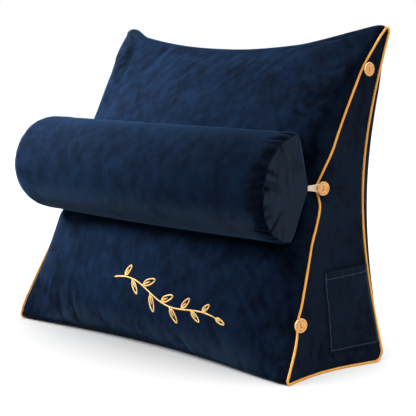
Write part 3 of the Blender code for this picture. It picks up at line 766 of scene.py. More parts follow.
def fill_out(piece, held, fullness, free, growth, pressure, cap):
    """Cloth simulation under pressure that puts creases into a cover.

    held is 1 where the cover is sewn down, and fullness is 1 where growth adds cloth.  The broad swelling
    is taken out again, because the form already has its crown, and what is left moves at most cap.
    """
    start = positions(piece)
    sewn = piece.vertex_groups.new(name="sewn")
    full = piece.vertex_groups.new(name="full")
    for i, (weight, extra) in enumerate(zip(held, fullness)):
        sewn.add([i], float(weight), "REPLACE")
        full.add([i], float(extra), "REPLACE")
    cover = piece.modifiers.new("cover", "CLOTH")
    for name, value in CLOTH.items():
        setattr(cover.settings, name, value)
    cover.settings.uniform_pressure_force = pressure
    cover.settings.vertex_group_shrink = full.name
    cover.settings.shrink_max = -growth
    cover.settings.vertex_group_mass = sewn.name
    cover.settings.effector_weights.gravity = 0
    cover.collision_settings.use_collision = False
    cover.point_cache.frame_start = 1
    cover.point_cache.frame_end = COVER_FRAMES
    scene = bpy.context.scene
    for number in range(1, COVER_FRAMES + 1):
        scene.frame_set(number)
    graph = bpy.context.evaluated_depsgraph_get()
    shift = positions(piece.evaluated_get(graph)) - start
    piece.modifiers.clear()
    scene.frame_set(1)
    shift -= blurred(piece, shift, BROAD_ROUNDS)
    length = np.linalg.norm(shift, axis=1)
    shift *= (cap * np.tanh(length / cap) / np.maximum(length, 1e-9) * free)[:, None]
    move_to(piece, start + shift)


def subdivide(piece, creased):
    """One smooth subdivision that keeps the sewn edges sharp."""
    mesh = piece.data
    crease = mesh.attributes.new("crease_edge", "FLOAT", "EDGE")
    sharp = mesh.attributes.new("sharp_edge", "BOOLEAN", "EDGE")
    for edge in mesh.edges:
        if edge.vertices[0] in creased and edge.vertices[1] in creased:
            crease.data[edge.index].value = 1.0
            sharp.data[edge.index].value = True
    finer = piece.modifiers.new("finer", "SUBSURF")
    finer.levels = finer.render_levels = 1
    finer.boundary_smooth = "PRESERVE_CORNERS"
    apply_modifiers(piece)


def note(piece, name, values):
    """Keep a number for each point, which the subdivision then carries to the finer mesh."""
    piece.data.attributes.new(name, "FLOAT", "POINT").data.foreach_set("value", np.asarray(values, float))


def noted(piece, name):
    """Take such a number off the piece again."""
    layer = piece.data.attributes[name]
    values = read(layer.data, "value", 1)[:, 0]
    piece.data.attributes.remove(layer)
    return values


def folds(flat, groups):
    """Depth of soft folds at points of a panel, each a bowed stroke with a low ridge beside it."""
    depth = np.zeros(len(flat))
    for group in groups:
        for k in range(group.count):
            place = (k + rng.uniform(-0.3, 0.3)) / (group.count - 1)
            start = mix(np.array(group.first), np.array(group.last), place)
            start = start + rng.uniform(-1, 1, 2) * group.stray
            run = np.array(group.run) * rng.uniform(0.6, 1.3) + rng.uniform(-1, 1, 2) * group.stray
            long = np.linalg.norm(run)
            ahead = run / long
            along = (flat - start) @ ahead / long
            bow = group.bow * rng.uniform(0.3, 1.5) * long
            off = (flat - start) @ np.array([-ahead[1], ahead[0]]) - bow * 4 * along * (1 - along)
            wide = group.wide * rng.uniform(0.8, 1.3)
            stroke = np.sin(math.pi * np.clip(along, 0, 1)) ** 0.8 * group.deep * rng.uniform(0.5, 1.3)
            ridge = FOLD_RIDGE * np.exp(-(((off - FOLD_RIDGE_OFF * wide) / wide) ** 2))
            depth += stroke * (np.exp(-((off / wide) ** 2)) - ridge)
    return depth


def crumple(piece):
    """Folds at the ears, feet, buttons and edges of the cushion's cover, and the painted shade and painted
    light on its nap.
    """
    points = positions(piece)
    normals = normals_of(piece)
    edge = noted(piece, "from_seam")
    front = fade("faces front", -normals[:, 1])
    foot = fade("foot", points[:, 2]) * (points[:, 1] < 0)
    depth = folds(points[:, [0, 2]], FOLDS) * np.maximum(front, foot)
    depth += folds(points[:, [1, 2]], GUSSET_FOLDS) * fade("faces right", normals[:, 0])
    depth *= fade("folds", edge)
    points -= normals * depth[:, None]
    points[:, 2] = np.maximum(points[:, 2], 0.0)
    move_to(piece, points)
    x, y, z = points.T
    # Painted shade: darker beside the front's right seam and at its left foot, on top of the painted shade
    # in the folds.
    shade = RIGHT_SHADE * fade("shade beside", edge) * (x > 0) * front
    shade += FOOT_SHADE * fade("left foot", np.hypot(x + BASE_WIDTH / 2, z)) * front
    note(piece, "crease", np.clip(depth / CREASE_FULL + shade, -1, 1))
    # Painted light: a greyer, lighter nap standing in for light off the room and the floor, on the gusset
    # and beside its seam, along the front's lower roll and along its left rim.
    up = z / HEIGHT
    seam = mix(-DEPTH / 2 - FOOT_FORWARD, DEPTH / 2 + TOP_OVERHANG, up)
    seam -= SEAM_FORWARD * np.sin(math.pi * up)
    gusset = fade("faces sideways", np.abs(normals[:, 0])) * fade("behind the seam", y - seam)
    low = LOW_PAINTED_LIGHT * fade("lower roll", z) * (normals[:, 1] < 0) * fade("away from the feet", edge)
    rim = RIM_PAINTED_LIGHT * fade("left rim", edge) * (x < 0) * front * fade("above the foot", z)
    beside = BESIDE_PAINTED_LIGHT * fade("pale beside", edge) * (x > 0)
    panels = np.maximum(low * (1 - gusset), rim)
    note(piece, "pale", np.maximum(GUSSET_PAINTED_LIGHT * np.maximum(gusset, beside), panels))


def gusset_numbers(first, ring):
    """Vertex numbers of a gusset's grid; its outer ones are those of the wrap's edge ring, already made."""
    edge = EDGE_STEPS + CORNER_STEPS
    count = 2 * (edge + TOP_STEPS)
    numbers = np.zeros((edge + 1, TOP_STEPS + 1), int)
    numbers[1:-1, 1:-1] = first + np.arange((edge - 1) * (TOP_STEPS - 1)).reshape(edge - 1, -1)
    numbers[0] = ring + (count - np.arange(TOP_STEPS + 1)) % count
    numbers[-1] = ring + edge + np.arange(TOP_STEPS + 1)
    numbers[1:, 0] = ring + np.arange(1, edge + 1)
    numbers[1:, -1] = ring + 2 * edge + TOP_STEPS - np.arange(1, edge + 1)
    return numbers


def build_wedge(paint):
    rows = {side: seam_rows(side) for side in SIDES}
    puffs = {side: shoulders(rows[side], side) for side in SIDES}
    middle = middle_points()
    count = len(middle)
    verts, faces = [], []
    for share in wrap_shares(ACROSS, ACROSS_EVEN):
        side = side_of(share)
        verts += [wrap_point(rows[side][i], middle[i], puffs[side][i], share) for i in range(count)]
    rings = [range(k * count, (k + 1) * count) for k in range(ACROSS + 1)]
    for first, second in zip(rings, rings[1:]):
        faces += ring_faces(first, second, count)
    held = np.tile([float(row[1] == "base") for row in rows["right"]], ACROSS + 1)
    held[:count] = held[-count:] = 1.0
    for side, ring in (("left", rings[0]), ("right", rings[-1])):
        numbers = gusset_numbers(len(verts), ring[0])
        for row in gusset_grid([row[0] for row in rows[side]])[1:-1]:
            verts += [point * (SIDES[side], 1, 1) for point in row[1:-1]]
        faces += grid_faces(numbers).tolist()
    held = np.pad(held, (0, len(verts) - len(held)))
    piece = closed_piece("wedge_cover", verts, faces, paint)
    points = positions(piece)
    depth, across = from_bolster(points)
    near = np.hypot(across, np.minimum(depth, 0) * 0.6)
    free = smooth(BOLSTER_RADIUS - PRESS_EDGE, BOLSTER_RADIUS + PRESS_REACH, near)
    free = np.where(depth < BEHIND_FRONT, 1.0, free) * (1 - held)
    seam_numbers = sorted({*rings[0], *rings[-1]})
    fullness = np.exp(-seam_distance(points, seam_numbers) / WEDGE_FILL_REACH)
    fill_out(piece, held, fullness, free, **WEDGE_FILL)
    note(piece, "from_seam", seam_distance(positions(piece), seam_numbers))
    subdivide(piece, set(seam_numbers))
    crumple(piece)
    return piece


def bolster_section(angle, radius):
    """Round section in (away, along), pressed flat where it lies on the cushion."""
    away = radius * math.cos(angle)
    if away < 0:
        away = -BOLSTER_FLAT + above_zero(away + BOLSTER_FLAT, FLAT_SOFT)
    return away, radius * math.sin(angle)


def bolster_point(share, angle):
    """Point on the tube; share runs -1 to 1 from end seam to end seam."""
    side = side_of(share)
    taper = 1 - TUBE_TAPER * share**2 - BOLSTER_TAPER[side] * abs(share) ** 16
    away, along = bolster_section(angle, BOLSTER_RADIUS * taper)
    out, up = bolster_frame()
    y, z = out * away + up * along + (BOLSTER_Y, BOLSTER_Z)
    z += BOLSTER_LIFT[side] * abs(share) ** 3 * max(0.0, BOLSTER_Z - z)
    behind = above_zero(y - BOLSTER_Y - PULL_BEHIND, PULL_SOFT)
    pull = (BOLSTER_PULL * behind + BOLSTER_SAG[side] * max(0.0, BOLSTER_Z - z)) * abs(share) ** 5
    return np.array([share * BOLSTER_HALF - math.copysign(pull, share), y, z])


def crease_across(turn, angle, radius, wide):
    """Share of its depth that a crease has at each turn round the bolster."""
    apart = (turn - angle + math.pi) % (2 * math.pi) - math.pi
    return np.exp(-((apart * radius / wide) ** 2) / 2)


def gather_ends(piece):
    """Gathers on the tube beside each end seam, which run on over the seam as creases in the cap."""
    points = positions(piece)
    reach = noted(piece, "reach")
    normals = normals_of(piece)
    away, along = from_bolster(points)
    turn = np.arctan2(along, away)
    tube = reach >= 0
    inward = np.clip(-reach, 0, 1)
    at_seam = GATHER_AT_SEAM + (1 - GATHER_AT_SEAM) * fade("gather", reach)
    sink = np.zeros(len(points))
    for name, side in SIDES.items():
        here = points[:, 0] * side > 0
        for k in range(GATHERS[name]):
            angle = 2 * math.pi * (k + rng.uniform(-0.3, 0.3)) / GATHERS[name]
            long = rng.uniform(*GATHER_LONG)
            wide = rng.uniform(*GATHER_WIDE)
            deep = rng.uniform(*GATHER_DEEP[name]) * (1 + GATHER_MORE_UP * math.sin(angle))
            lean = rng.uniform(-GATHER_LEAN, GATHER_LEAN)
            run = rng.uniform(*GATHER_ON_CAP)
            crossing = CAP_CREASE * (rng.uniform() < CAP_CREASED)
            across = crease_across(turn - lean * np.maximum(reach, 0), angle, BOLSTER_RADIUS, wide)
            down = at_seam * (1 - smooth(0.2 * long, long, reach))
            sink += np.where(here & tube, deep * across * down, 0)
            radius = BOLSTER_RADIUS * (1 - 0.75 * inward)
            across = crease_across(turn - 0.015 * lean * inward, angle, radius, wide)
            down = GATHER_AT_SEAM * (1 - smooth(0.2 * run, run, inward))
            sink += np.where(here & ~tube, crossing * deep * across * down, 0)
    puff = GATHER_PUFF * fade("puff", reach) * (1 - fade("past the puff", reach))
    front = smooth(-BOLSTER_FLAT, -BOLSTER_FLAT + FLAT_FREE, away)
    move_to(piece, points + normals * ((puff * tube - sink) * front)[:, None])
    # Painted shade: darker in the gathers and along the tube beside its right end.
    painted_end_shade = fade("painted_end_shade", reach) * tube * (points[:, 0] > 0) * GATHER_SHADE
    crease = np.clip(sink / CREASE_FULL + painted_end_shade, 0, 1)
    note(piece, "crease", crease)
    # Painted light: a greyer, lighter nap on the caps and on the bolster's underside, standing in for light
    # off the room and the floor.
    pale = np.where(tube, fade("over the seam", reach) * (1 - crease), 1.0)
    under = UNDER_PAINTED_LIGHT * fade("faces down", normals[:, 2]) * (1 - crease)
    note(piece, "pale", np.maximum(CAP_PAINTED_LIGHT * pale, under))


def build_bolster(paint):
    angles = [2 * math.pi * k / AROUND for k in range(AROUND)]
    ends = {side: [bolster_point(side, angle)[0] for angle in angles] for side in (-1, 1)}
    verts, rings, faces, reach = [], [], [], []
    for share in wrap_shares(ALONG, ALONG_EVEN):
        rings.append(range(len(verts), len(verts) + AROUND))
        ring = [bolster_point(share, angle) for angle in angles]
        verts += ring
        reach += [abs(end - point[0]) for end, point in zip(ends[1 if share > 0 else -1], ring)]
    for first, second in zip(rings, rings[1:]):
        faces += ring_faces(first, second, AROUND)
    held = [0.0] * len(verts)
    for outer in (rings[0], rings[-1]):
        held[outer[0]:outer[-1] + 1] = [1.0] * AROUND
    for side, outer in ((-1.0, rings[0]), (1.0, rings[-1])):
        tip = np.array(CAP_TIP) * (side, 1, 1)
        seam = np.array([verts[i] for i in outer])
        last = outer
        for k in range(1, CAP_RINGS + 1):
            inward = k / (CAP_RINGS + 1)
            ring = range(len(verts), len(verts) + AROUND)
            swell = np.array([side * CAP_BULGE * inward * (1 - inward) ** CAP_SWELL, 0.0, 0.0])
            verts += [mix(point, tip, inward**CAP_CROWD) + swell for point in seam]
            reach += [-inward] * AROUND
            held += [float(k == CAP_RINGS)] * AROUND
            faces += ring_faces(last, ring, AROUND)
            last = ring
        verts.append(tip)
        reach.append(-1.0)
        held.append(1.0)
        faces += fan_faces(last, len(verts) - 1)
    piece = closed_piece("bolster_cover", verts, faces, paint)
    points = positions(piece)
    seam_numbers = sorted({*rings[0], *rings[-1]})
    fullness = np.exp(-seam_distance(points, seam_numbers) / BOLSTER_FILL_REACH)
    free = smooth(-BOLSTER_FLAT + FLAT_HELD, -BOLSTER_FLAT + FLAT_FREE, from_bolster(points)[0])
    fill_out(piece, np.array(held), fullness, free, **BOLSTER_FILL)
    note(piece, "reach", reach)
    subdivide(piece, set(seam_numbers))
    gather_ends(piece)
    return piece


# ---------------------------------------------------------------- trims
def resampled(line, step, closed):
    line = np.asarray(line, float)
    if closed:
        line = np.vstack([line, line[:1]])
    reach = np.concatenate([[0], np.cumsum(np.linalg.norm(np.diff(line, axis=0), axis=1))])
    at = np.linspace(0, reach[-1], max(3, round(reach[-1] / step)), endpoint=not closed)
    return np.stack([np.interp(at, reach, line[:, k]) for k in range(3)], 1)


def carried_frames(ahead, closed):
    """Directions across a line that turn no more than the line does."""
    first = np.cross(ahead[0], (0.3, 0.5, 0.8))
    across = [unit(first)]
    for forward in ahead[1:]:
        across.append(unit(across[-1] - forward * (across[-1] @ forward)))
    across = np.array(across)
    if closed:
        end = unit(across[-1] - ahead[0] * (across[-1] @ ahead[0]))
        miss = math.atan2(float(np.cross(end, across[0]) @ ahead[0]), float(end @ across[0]))
        turn = miss * np.arange(len(ahead)) / len(ahead)
        side = np.cross(ahead, across)
        across = across * np.cos(turn)[:, None] + side * np.sin(turn)[:, None]
    return across


def sweep(line, wide, thick, sides, closed=False, facing=None):
    """Tube round a line: its points, faces and the (length, turn) of each face corner."""
    line = np.asarray(line, float)
    count = len(line)
    if closed:
        ahead = unit_rows(np.roll(line, -1, 0) - np.roll(line, 1, 0))
    else:
        ahead = unit_rows(np.gradient(line, axis=0))
    if facing is None:
        across = carried_frames(ahead, closed)
    else:
        across = unit_rows(np.cross(ahead, np.broadcast_to(facing, line.shape)))
    out = np.cross(across, ahead)
    wide = np.broadcast_to(wide, count)
    thick = np.broadcast_to(thick, count)
    turn = 2 * math.pi * np.arange(sides) / sides
    verts = (
        line[:, None]
        + across[:, None] * (wide[:, None] * np.cos(turn))[:, :, None]
        + out[:, None] * (thick[:, None] * np.sin(turn))[:, :, None]
    ).reshape(-1, 3)
    step = np.linalg.norm(np.roll(line, -1, 0) - line, axis=1)
    length = np.concatenate([[0], np.cumsum(step)])
    faces, lie = [], []
    for i in range(count if closed else count - 1):
        here, there = i * sides, (i + 1) % count * sides
        for k in range(sides):
            n = (k + 1) % sides
            faces.append((here + k, there + k, there + n, here + n))
            lie += [(length[i + a], (k + b) / sides) for a, b in ((0, 0), (1, 0), (1, 1), (0, 1))]
    if not closed:
        for ring, order in ((0, 1), (count - 1, -1)):
            faces.append(tuple(ring * sides + k for k in range(sides))[::order])
            lie += [(length[ring], 0.0)] * sides
    return verts, faces, lie


class Parts:
    """Several meshes gathered into one piece, each with its material."""

    def __init__(self):
        self.verts, self.faces, self.lie, self.paints = [], [], [], []

    def add(self, verts, faces, lie=None, paint=0):
        first = len(self.verts)
        self.verts += [tuple(v) for v in verts]
        self.faces += [tuple(i + first for i in face) for face in faces]
        self.lie += lie if lie is not None else [(0.0, 0.0)] * sum(len(face) for face in faces)
        self.paints += [paint] * len(faces)

    def piece(self, name, *paints):
        made = closed_piece(name, self.verts, self.faces, None, self.lie)
        for paint in paints:
            made.data.materials.append(paint)
        if len(paints) > 1:
            made.data.polygons.foreach_set("material_index", self.paints)
        return made


def square_to(direction, forward):
    return unit(direction - forward * (direction @ forward))


def piping_line(side):
    """Line of the piping, which stands just off its seam along the corner between the two panels."""
    rows = seam_rows(side)
    puffs = shoulders(rows, side)
    middle = middle_points()
    grid = gusset_grid([row[0] for row in rows])
    edge = EDGE_STEPS + CORNER_STEPS
    inner = [grid[j][GUSSET_NEAR] for j in range(edge)]
    inner += grid[-1 - GUSSET_NEAR_UP][:TOP_STEPS]
    inner += [grid[edge - j][-1 - GUSSET_NEAR] for j in range(edge)]
    inner += grid[GUSSET_NEAR_UP][:0:-1]
    offsets = []
    for i, row in enumerate(rows):
        point = row[0]
        forward = unit(rows[(i + 1) % len(rows)][0] - rows[i - 1][0])
        panel = wrap_point(row, middle[i], puffs[i], SIDES[side] * WRAP_NEAR)
        into_wrap = square_to(np.multiply(panel, (SIDES[side], 1, 1)) - point, forward)
        into_gusset = square_to(inner[i] - point, forward)
        offsets.append(unit(unit(np.cross(forward, into_wrap)) + unit(np.cross(into_gusset, forward))))
    offsets = unit_rows(eased(np.array(offsets), 24))
    line = np.array([row[0] for row in rows]) + offsets * PIPING_OFF
    line[:, 2] = np.maximum(line[:, 2], PIPING_RADIUS + PIPING_LIFT)
    line = eased(resampled(line, PIPING_STEP, True), 2)
    return line * (SIDES[side], 1, 1)


def build_piping(side, paint):
    line = piping_line(side)
    thick = PIPING_RADIUS * (1 + PIPING_UNEVEN * eased(rng.normal(size=(len(line), 1)), 6)[:, 0])
    verts, faces, lie = sweep(line, thick, thick, PIPING_SIDES, True)
    return closed_piece("piping_cord_" + side, verts, faces, paint, lie)


def button_place(node):
    """Middle of the back of a button in the frame, and the way it faces."""
    points = positions(node)
    centre = points.mean(0)
    _, directions = np.linalg.eigh(np.cov((points - centre).T))
    face = directions[:, 0] * np.sign(directions[0, 0] * centre[0])
    offset = points - centre
    height = offset @ face
    radial = np.linalg.norm(offset - height[:, None] * face, axis=1)
    rim = radial > BUTTON_RIM * BUTTON_RADIUS
    return centre + face * (height[rim].max() - BUTTON_RIM_UP * BUTTON_THICK), face


def turned(profile, steps):
    """Surface of revolution round Z through a smooth profile."""
    at = np.linspace(0, len(profile) - 1, 2 * len(profile) - 1)
    radius, height = [np.interp(at, range(len(profile)), row) for row in np.array(profile).T]
    angles = np.linspace(0, 2 * math.pi, steps, False)
    verts = [(0, 0, height[0])]
    for r, h in zip(radius[1:-1] * BUTTON_RADIUS, height[1:-1]):
        verts += [(r * math.cos(a), r * math.sin(a), h) for a in angles]
    verts.append((0, 0, height[-1]))
    rings = [range(1 + k * steps, 1 + (k + 1) * steps) for k in range(len(radius) - 2)]
    faces = [(0, rings[0][i], rings[0][(i + 1) % steps]) for i in range(steps)]
    for first, second in zip(rings, rings[1:]):
        faces += ring_faces(first, second, steps)
    faces += [(rings[-1][(i + 1) % steps], rings[-1][i], len(verts) - 1) for i in range(steps)]
    return verts, faces


def button_blank():
    """One turned button with two drilled holes, round Z."""
    blank = closed_piece("button_blank", *turned(BUTTON_PROFILE, BUTTON_STEPS))
    drills = Parts()
    for side in (-1, 1):
        line = [(side * HOLE_APART, 0, h) for h in DRILL_REACH]
        drills.add(*sweep(line, HOLE_RADIUS, HOLE_RADIUS, 20))
    drill = drills.piece("drill")
    cut = blank.modifiers.new("holes", "BOOLEAN")
    cut.operation = "DIFFERENCE"
    cut.solver = "EXACT"
    cut.object = drill
    apply_modifiers(blank)
    verts = positions(blank)
    faces = [tuple(polygon.vertices) for polygon in blank.data.polygons]
    for tool in (drill, blank):
        bpy.data.objects.remove(tool)
    return verts, faces


def build_button(name, node, blank, surface, wood, thread):
    """Button on its thread shank, with two stitches across its face."""
    back, face = button_place(node)
    up = square_to(np.array([0.0, 0.0, 1.0]), face)
    lean = rng.uniform(-BUTTON_LEAN, BUTTON_LEAN)
    up = unit(up * math.cos(lean) + np.cross(face, up) * math.sin(lean))
    turn = np.stack([up, np.cross(face, up), face])
    parts = Parts()
    parts.add(np.asarray(blank[0]) @ turn + back, blank[1])

    def add_strand(line, radius):
        parts.add(*sweep(np.array(line) @ turn + back, radius, radius, 8), 1)

    foot, rise = THREAD_RISE
    for side in (-1, 1):
        add_strand([
            (mix(-HOLE_APART, HOLE_APART, t), side * THREAD_APART, foot + rise * hump(t, 0.35))
            for t in np.linspace(0, 1, 9)
        ], THREAD_RADIUS)
    hit = surface.ray_cast(Vector(back), Vector(-face))[0]
    reach = (Vector(back) - hit).length + SHANK_SUNK if hit else SHANK_LONG
    for angle in np.arange(SHANK_STRANDS) * 2 * math.pi / SHANK_STRANDS:
        strand = []
        for t in np.linspace(0, 1, 7):
            r = SHANK_WAIST + SHANK_FLARE * abs(2 * t - 1)
            twist = angle + SHANK_TWIST * t
            strand.append((r * math.cos(twist), r * math.sin(twist), SHANK_TOP - t * reach))
        add_strand(strand, SHANK_RADIUS)
    return parts.piece(name, wood, thread)


def build_loop(side, node, paint):
    """Elastic loop from the tip of the bolster's cap round the shank of the middle button."""
    back, face = button_place(node)
    shank = back - face * LOOP_DEEP
    tip = np.array(CAP_TIP) * (SIDES[side], 1, 1)
    run = unit(shank - tip)
    across = unit(np.cross(run, face))
    start = tip + run * LOOP_REACH
    narrow, wide = LOOP_SPREAD

    def leg(way):
        tuck = start - run * LOOP_TUCK + across * way * narrow * 0.7
        return [tuck] + [
            mix(start, shank, t) + across * way * mix(narrow, wide, t**1.4) for t in np.linspace(0, 1, 12)
        ]

    bend = math.pi / 2 - math.pi * np.arange(1, 12) / 12
    turn = [shank + across * wide * math.sin(angle) + run * wide * math.cos(angle) for angle in bend]
    line = eased(resampled(leg(1) + turn + leg(-1)[::-1], LOOP_STEP, False), 6, False)
    along = smooth(0.0, 0.8, (line - start) @ run / np.linalg.norm(shank - start))
    verts, faces, lie = sweep(line, mix(*LOOP_HALF, along), mix(*LOOP_THICK, along), 14, False, face)
    return closed_piece("loop_band_" + side, verts, faces, paint, lie)


def cast(surface, start, direction):
    hit, normal, _, _ = surface.ray_cast(Vector(start), Vector(direction))
    return np.array(hit), np.array(normal)


def pocket_sheet(surface):
    """Rows of points on the pocket's outside, from its foot up to its mouth."""
    steps = POCKET_STEPS
    ys = np.linspace(POCKET_FRONT, POCKET_BACK, steps + 1)
    zs = np.linspace(POCKET_LOW, POCKET_HIGH, steps + 1)
    rows = np.array([
        [cast(surface, (1.0, y + POCKET_LEAN * j / steps, z), (-1, 0, 0))[0] for y in ys]
        for j, z in enumerate(zs)
    ])
    ground = rows[:, :, 0].copy()
    soft = ground.copy()
    for _ in range(POCKET_ROUNDS):
        padded = np.pad(soft, 1, mode="edge")
        soft = (padded[:-2, 1:-1] + padded[2:, 1:-1] + padded[1:-1, :-2] + padded[1:-1, 2:]) / 4
    u, v = np.meshgrid(np.linspace(0, 1, steps + 1), np.linspace(0, 1, steps + 1))
    edge = np.minimum(np.minimum(u, 1 - u) * POCKET_WIDE, v * POCKET_TALL)
    hem = (1 - v) * POCKET_TALL

    def band(distance, middle, width):
        return np.exp(-(((distance - middle) / width) ** 2))

    gape = POCKET_GAPE * np.sin(math.pi * u) ** 0.8 * np.sin(math.pi / 2 * np.minimum(1, v * 1.2)) ** 1.6
    sewn = np.minimum(band(edge, STITCH_IN, STITCH_DENT) + band(hem, HEM, STITCH_DENT), 1)
    ridge = smooth(0.0, POCKET_ROUND, edge) * smooth(0.0, HEM_ROUND, hem + HEM_LIP)
    ripple = HEM_RIPPLE * np.sin(u * 31 + 3 * v) * band(hem, 0.005, 0.008)
    ripple += EDGE_RIPPLE * np.sin(v * 43 + 2 * u) * band(edge, 0, 0.009)
    lift = POCKET_OFF + POCKET_PUFF * ridge - STITCH_SINK * sewn + gape + ripple
    rows[:, :, 0] = np.maximum(soft, ground + 0.0002) + lift
    return rows


def build_pocket(surface, paint):
    rows = pocket_sheet(surface)
    verts = np.concatenate([rows.reshape(-1, 3), (rows - (POCKET_THICK, 0, 0)).reshape(-1, 3)])
    outer = np.arange((POCKET_STEPS + 1) ** 2).reshape(POCKET_STEPS + 1, -1)
    size = outer.size
    quads = grid_faces(outer)
    faces = np.stack([quads, size + quads[:, [0, 3, 2, 1]]], 1).reshape(-1, 4).tolist()
    rim = np.concatenate([outer[0, :-1], outer[:-1, -1], outer[-1, :0:-1], outer[:0:-1, 0]])
    faces += ring_faces(rim.tolist(), (size + rim).tolist(), len(rim))
    piece = closed_piece("pocket_patch", verts, faces, paint)
    # Painted light: the pocket gets the greyer, lighter nap of the gusset it lies on.
    note(piece, "pale", np.full(len(verts), POCKET_PAINTED_LIGHT))
    return piece, rows


def build_stitches(rows, paint):
    """Topstitching: down both sides and along the foot of the pocket, and across under its hem."""

    def spot(y_in, z_up):
        i = np.clip(y_in / POCKET_WIDE, 0, 1) * POCKET_STEPS
        j = np.clip(z_up / POCKET_TALL, 0, 1) * POCKET_STEPS
        a, b = min(int(i), POCKET_STEPS - 1), min(int(j), POCKET_STEPS - 1)
        low = mix(rows[b][a], rows[b][a + 1], i - a)
        high = mix(rows[b + 1][a], rows[b + 1][a + 1], i - a)
        return mix(low, high, j - b)

    front, back, end = STITCH_IN, POCKET_WIDE - STITCH_IN, 0.001
    runs = (
        ((front, POCKET_TALL - end), (front, STITCH_IN)),
        ((front, STITCH_IN), (back, STITCH_IN)),
        ((back, STITCH_IN), (back, POCKET_TALL - end)),
        ((end, POCKET_TALL - HEM), (POCKET_WIDE - end, POCKET_TALL - HEM)),
    )
    parts = Parts()
    for first, last in np.array(runs):
        long = math.hypot(*(last - first))
        count = round(long / STITCH_APART)
        for k in range(count):
            middle = (k + 0.5) * long / count
            line = []
            for t in np.linspace(-0.5, 0.5, 6):
                point = spot(*mix(first, last, (middle + t * STITCH_LONG) / long))
                line.append(point + (STITCH_PROUD - STITCH_DIP * abs(2 * t) ** 3, 0, 0))
            parts.add(*sweep(line, *STITCH_RADII, 6))
    return parts.piece("pocket_stitches", paint)


def sprig_strokes():
    """A leafy sprig in its own plane: a list of smooth strokes as (along, up) points, in metres."""
    stem = np.array([
        (SPRIG_LONG * t, SPRIG_WAVE * math.sin(2.6 * math.pi * t) * (1 - 0.4 * t))
        for t in np.linspace(0, 1, 60)
    ])
    strokes = [stem]
    for leaf in SPRIG_LEAVES:
        at = leaf.at * (len(stem) - 1)
        i = min(int(at), len(stem) - 2)
        foot = mix(stem[i], stem[i + 1], at - i)
        ahead = stem[i + 1] - stem[i]
        angle = math.atan2(ahead[1], ahead[0]) + math.radians(leaf.turn)
        way = np.array([math.cos(angle), math.sin(angle)])
        side = np.array([-way[1], way[0]])
        loop = []
        for t in np.linspace(0, 1, 40):
            out = 0.5 - 0.5 * math.cos(2 * math.pi * t)
            swell = math.sin(2 * math.pi * t) * (1 - 0.35 * out)
            loop.append(foot + way * leaf.long * (0.16 + 0.84 * out) + side * leaf.wide * swell)
        strokes.append(np.array(loop))
        strokes.append(np.array([foot, foot + way * leaf.long * 0.62]))
    return strokes


def build_sprig(surface, paint):
    """Satin-stitched sprig, laid on the front panel."""
    cosine, sine = math.cos(SPRIG_SLANT), math.sin(SPRIG_SLANT)
    parts = Parts()
    for stroke in sprig_strokes():
        points, facing = [], []
        for along, up, _ in resampled(np.pad(stroke, ((0, 0), (0, 1))), SPRIG_STEP, False):
            x = SPRIG_START[0] + along * cosine - up * sine
            z = SPRIG_START[1] + along * sine + up * cosine
            point, normal = cast(surface, (x, -1.0, z), (0, 1, 0))
            points.append(point + normal * 0.0001)
            facing.append(normal)
        reach = np.arange(len(points)) * SPRIG_STEP
        half = SPRIG_WIDE * (0.45 + 0.55 * smooth(0, 0.004, np.minimum(reach, reach[::-1])))
        facing = unit_rows(eased(np.array(facing), 3, False))
        parts.add(*sweep(points, half, SPRIG_THICK, 10, False, facing))
    return parts.piece("sprig_embroidery", paint)


# ---------------------------------------------------------------- materials
class Nodes:
    """A node tree, built with short calls."""

    def __init__(self, tree):
        self.tree = tree

    def set(self, node, inputs):
        for name, value in inputs.items():
            socket = node.inputs[name if isinstance(name, int) else name.replace("_", " ")]
            if isinstance(value, bpy.types.NodeSocket):
                self.tree.links.new(value, socket)
            else:
                socket.default_value = value

    def add(self, kind, settings=(), **inputs):
        node = self.tree.nodes.new("ShaderNode" + kind)
        for name, value in dict(settings).items():
            setattr(node, name, value)
        self.set(node, inputs)
        return node


class Paint(Nodes):
    """A material."""

    def __init__(self, name, **shader):
        self.material = bpy.data.materials.new(name)
        self.material.use_nodes = True
        super().__init__(self.material.node_tree)
        self.shader = self.tree.nodes["Principled BSDF"]
        self.look(**shader)

    def look(self, **inputs):
        self.set(self.shader, inputs)

    def place(self, scale=(1, 1, 1), rotation=(0, 0, 0)):
        """Object coordinates, turned and stretched."""
        where = self.add("TexCoord").outputs["Object"]
        return self.add("Mapping", Vector=where, Scale=scale, Rotation=rotation).outputs[0]

    def lie(self, scale):
        """Coordinates along and round a cord."""
        where = self.add("UVMap", {"uv_map": "lie"}).outputs[0]
        return self.add("Mapping", Vector=where, Scale=scale).outputs[0]

    def spot(self, name):
        """A number kept at the mesh's points; 0 on a piece that has none."""
        return self.add("Attribute", {"attribute_name": name}).outputs["Fac"]

    def noise(self, vector, scale, detail=2.0, roughness=0.5):
        node = self.add("TexNoise", Vector=vector, Scale=scale, Detail=detail, Roughness=roughness)
        return node.outputs[0]

    def between(self, value, low, high, start=0.0, end=1.0):
        node = self.add("MapRange", {"interpolation_type": "SMOOTHSTEP"})
        self.set(node, {0: value, 1: low, 2: high, 3: start, 4: end})
        return node.outputs[0]

    def math(self, operation, *values):
        node = self.add("Math", {"operation": operation})
        self.set(node, dict(enumerate(values)))
        return node.outputs[0]

    def blend(self, layer, share, rest):
        """A layer and the rest of the pattern, share to 1 - share."""
        return self.math("MULTIPLY_ADD", layer, share, self.math("MULTIPLY", rest, 1 - share))

    def mix(self, share, first, second):
        node = self.add("Mix", {"data_type": "RGBA"})
        self.set(node, {0: share, 6: first, 7: second})
        return node.outputs[2]

    def colours(self, share, first, second):
        return self.mix(share, (*first, 1), (*second, 1))

    def bump(self, *layers):
        """Bump from (height, distance, strength) layers, each on top of the last."""
        normal = None
        for height, distance, strength in layers:
            node = self.add("Bump", Height=height, Distance=distance, Strength=strength)
            if normal is not None:
                self.set(node, {"Normal": normal})
            normal = node.outputs[0]
        self.look(Normal=normal)


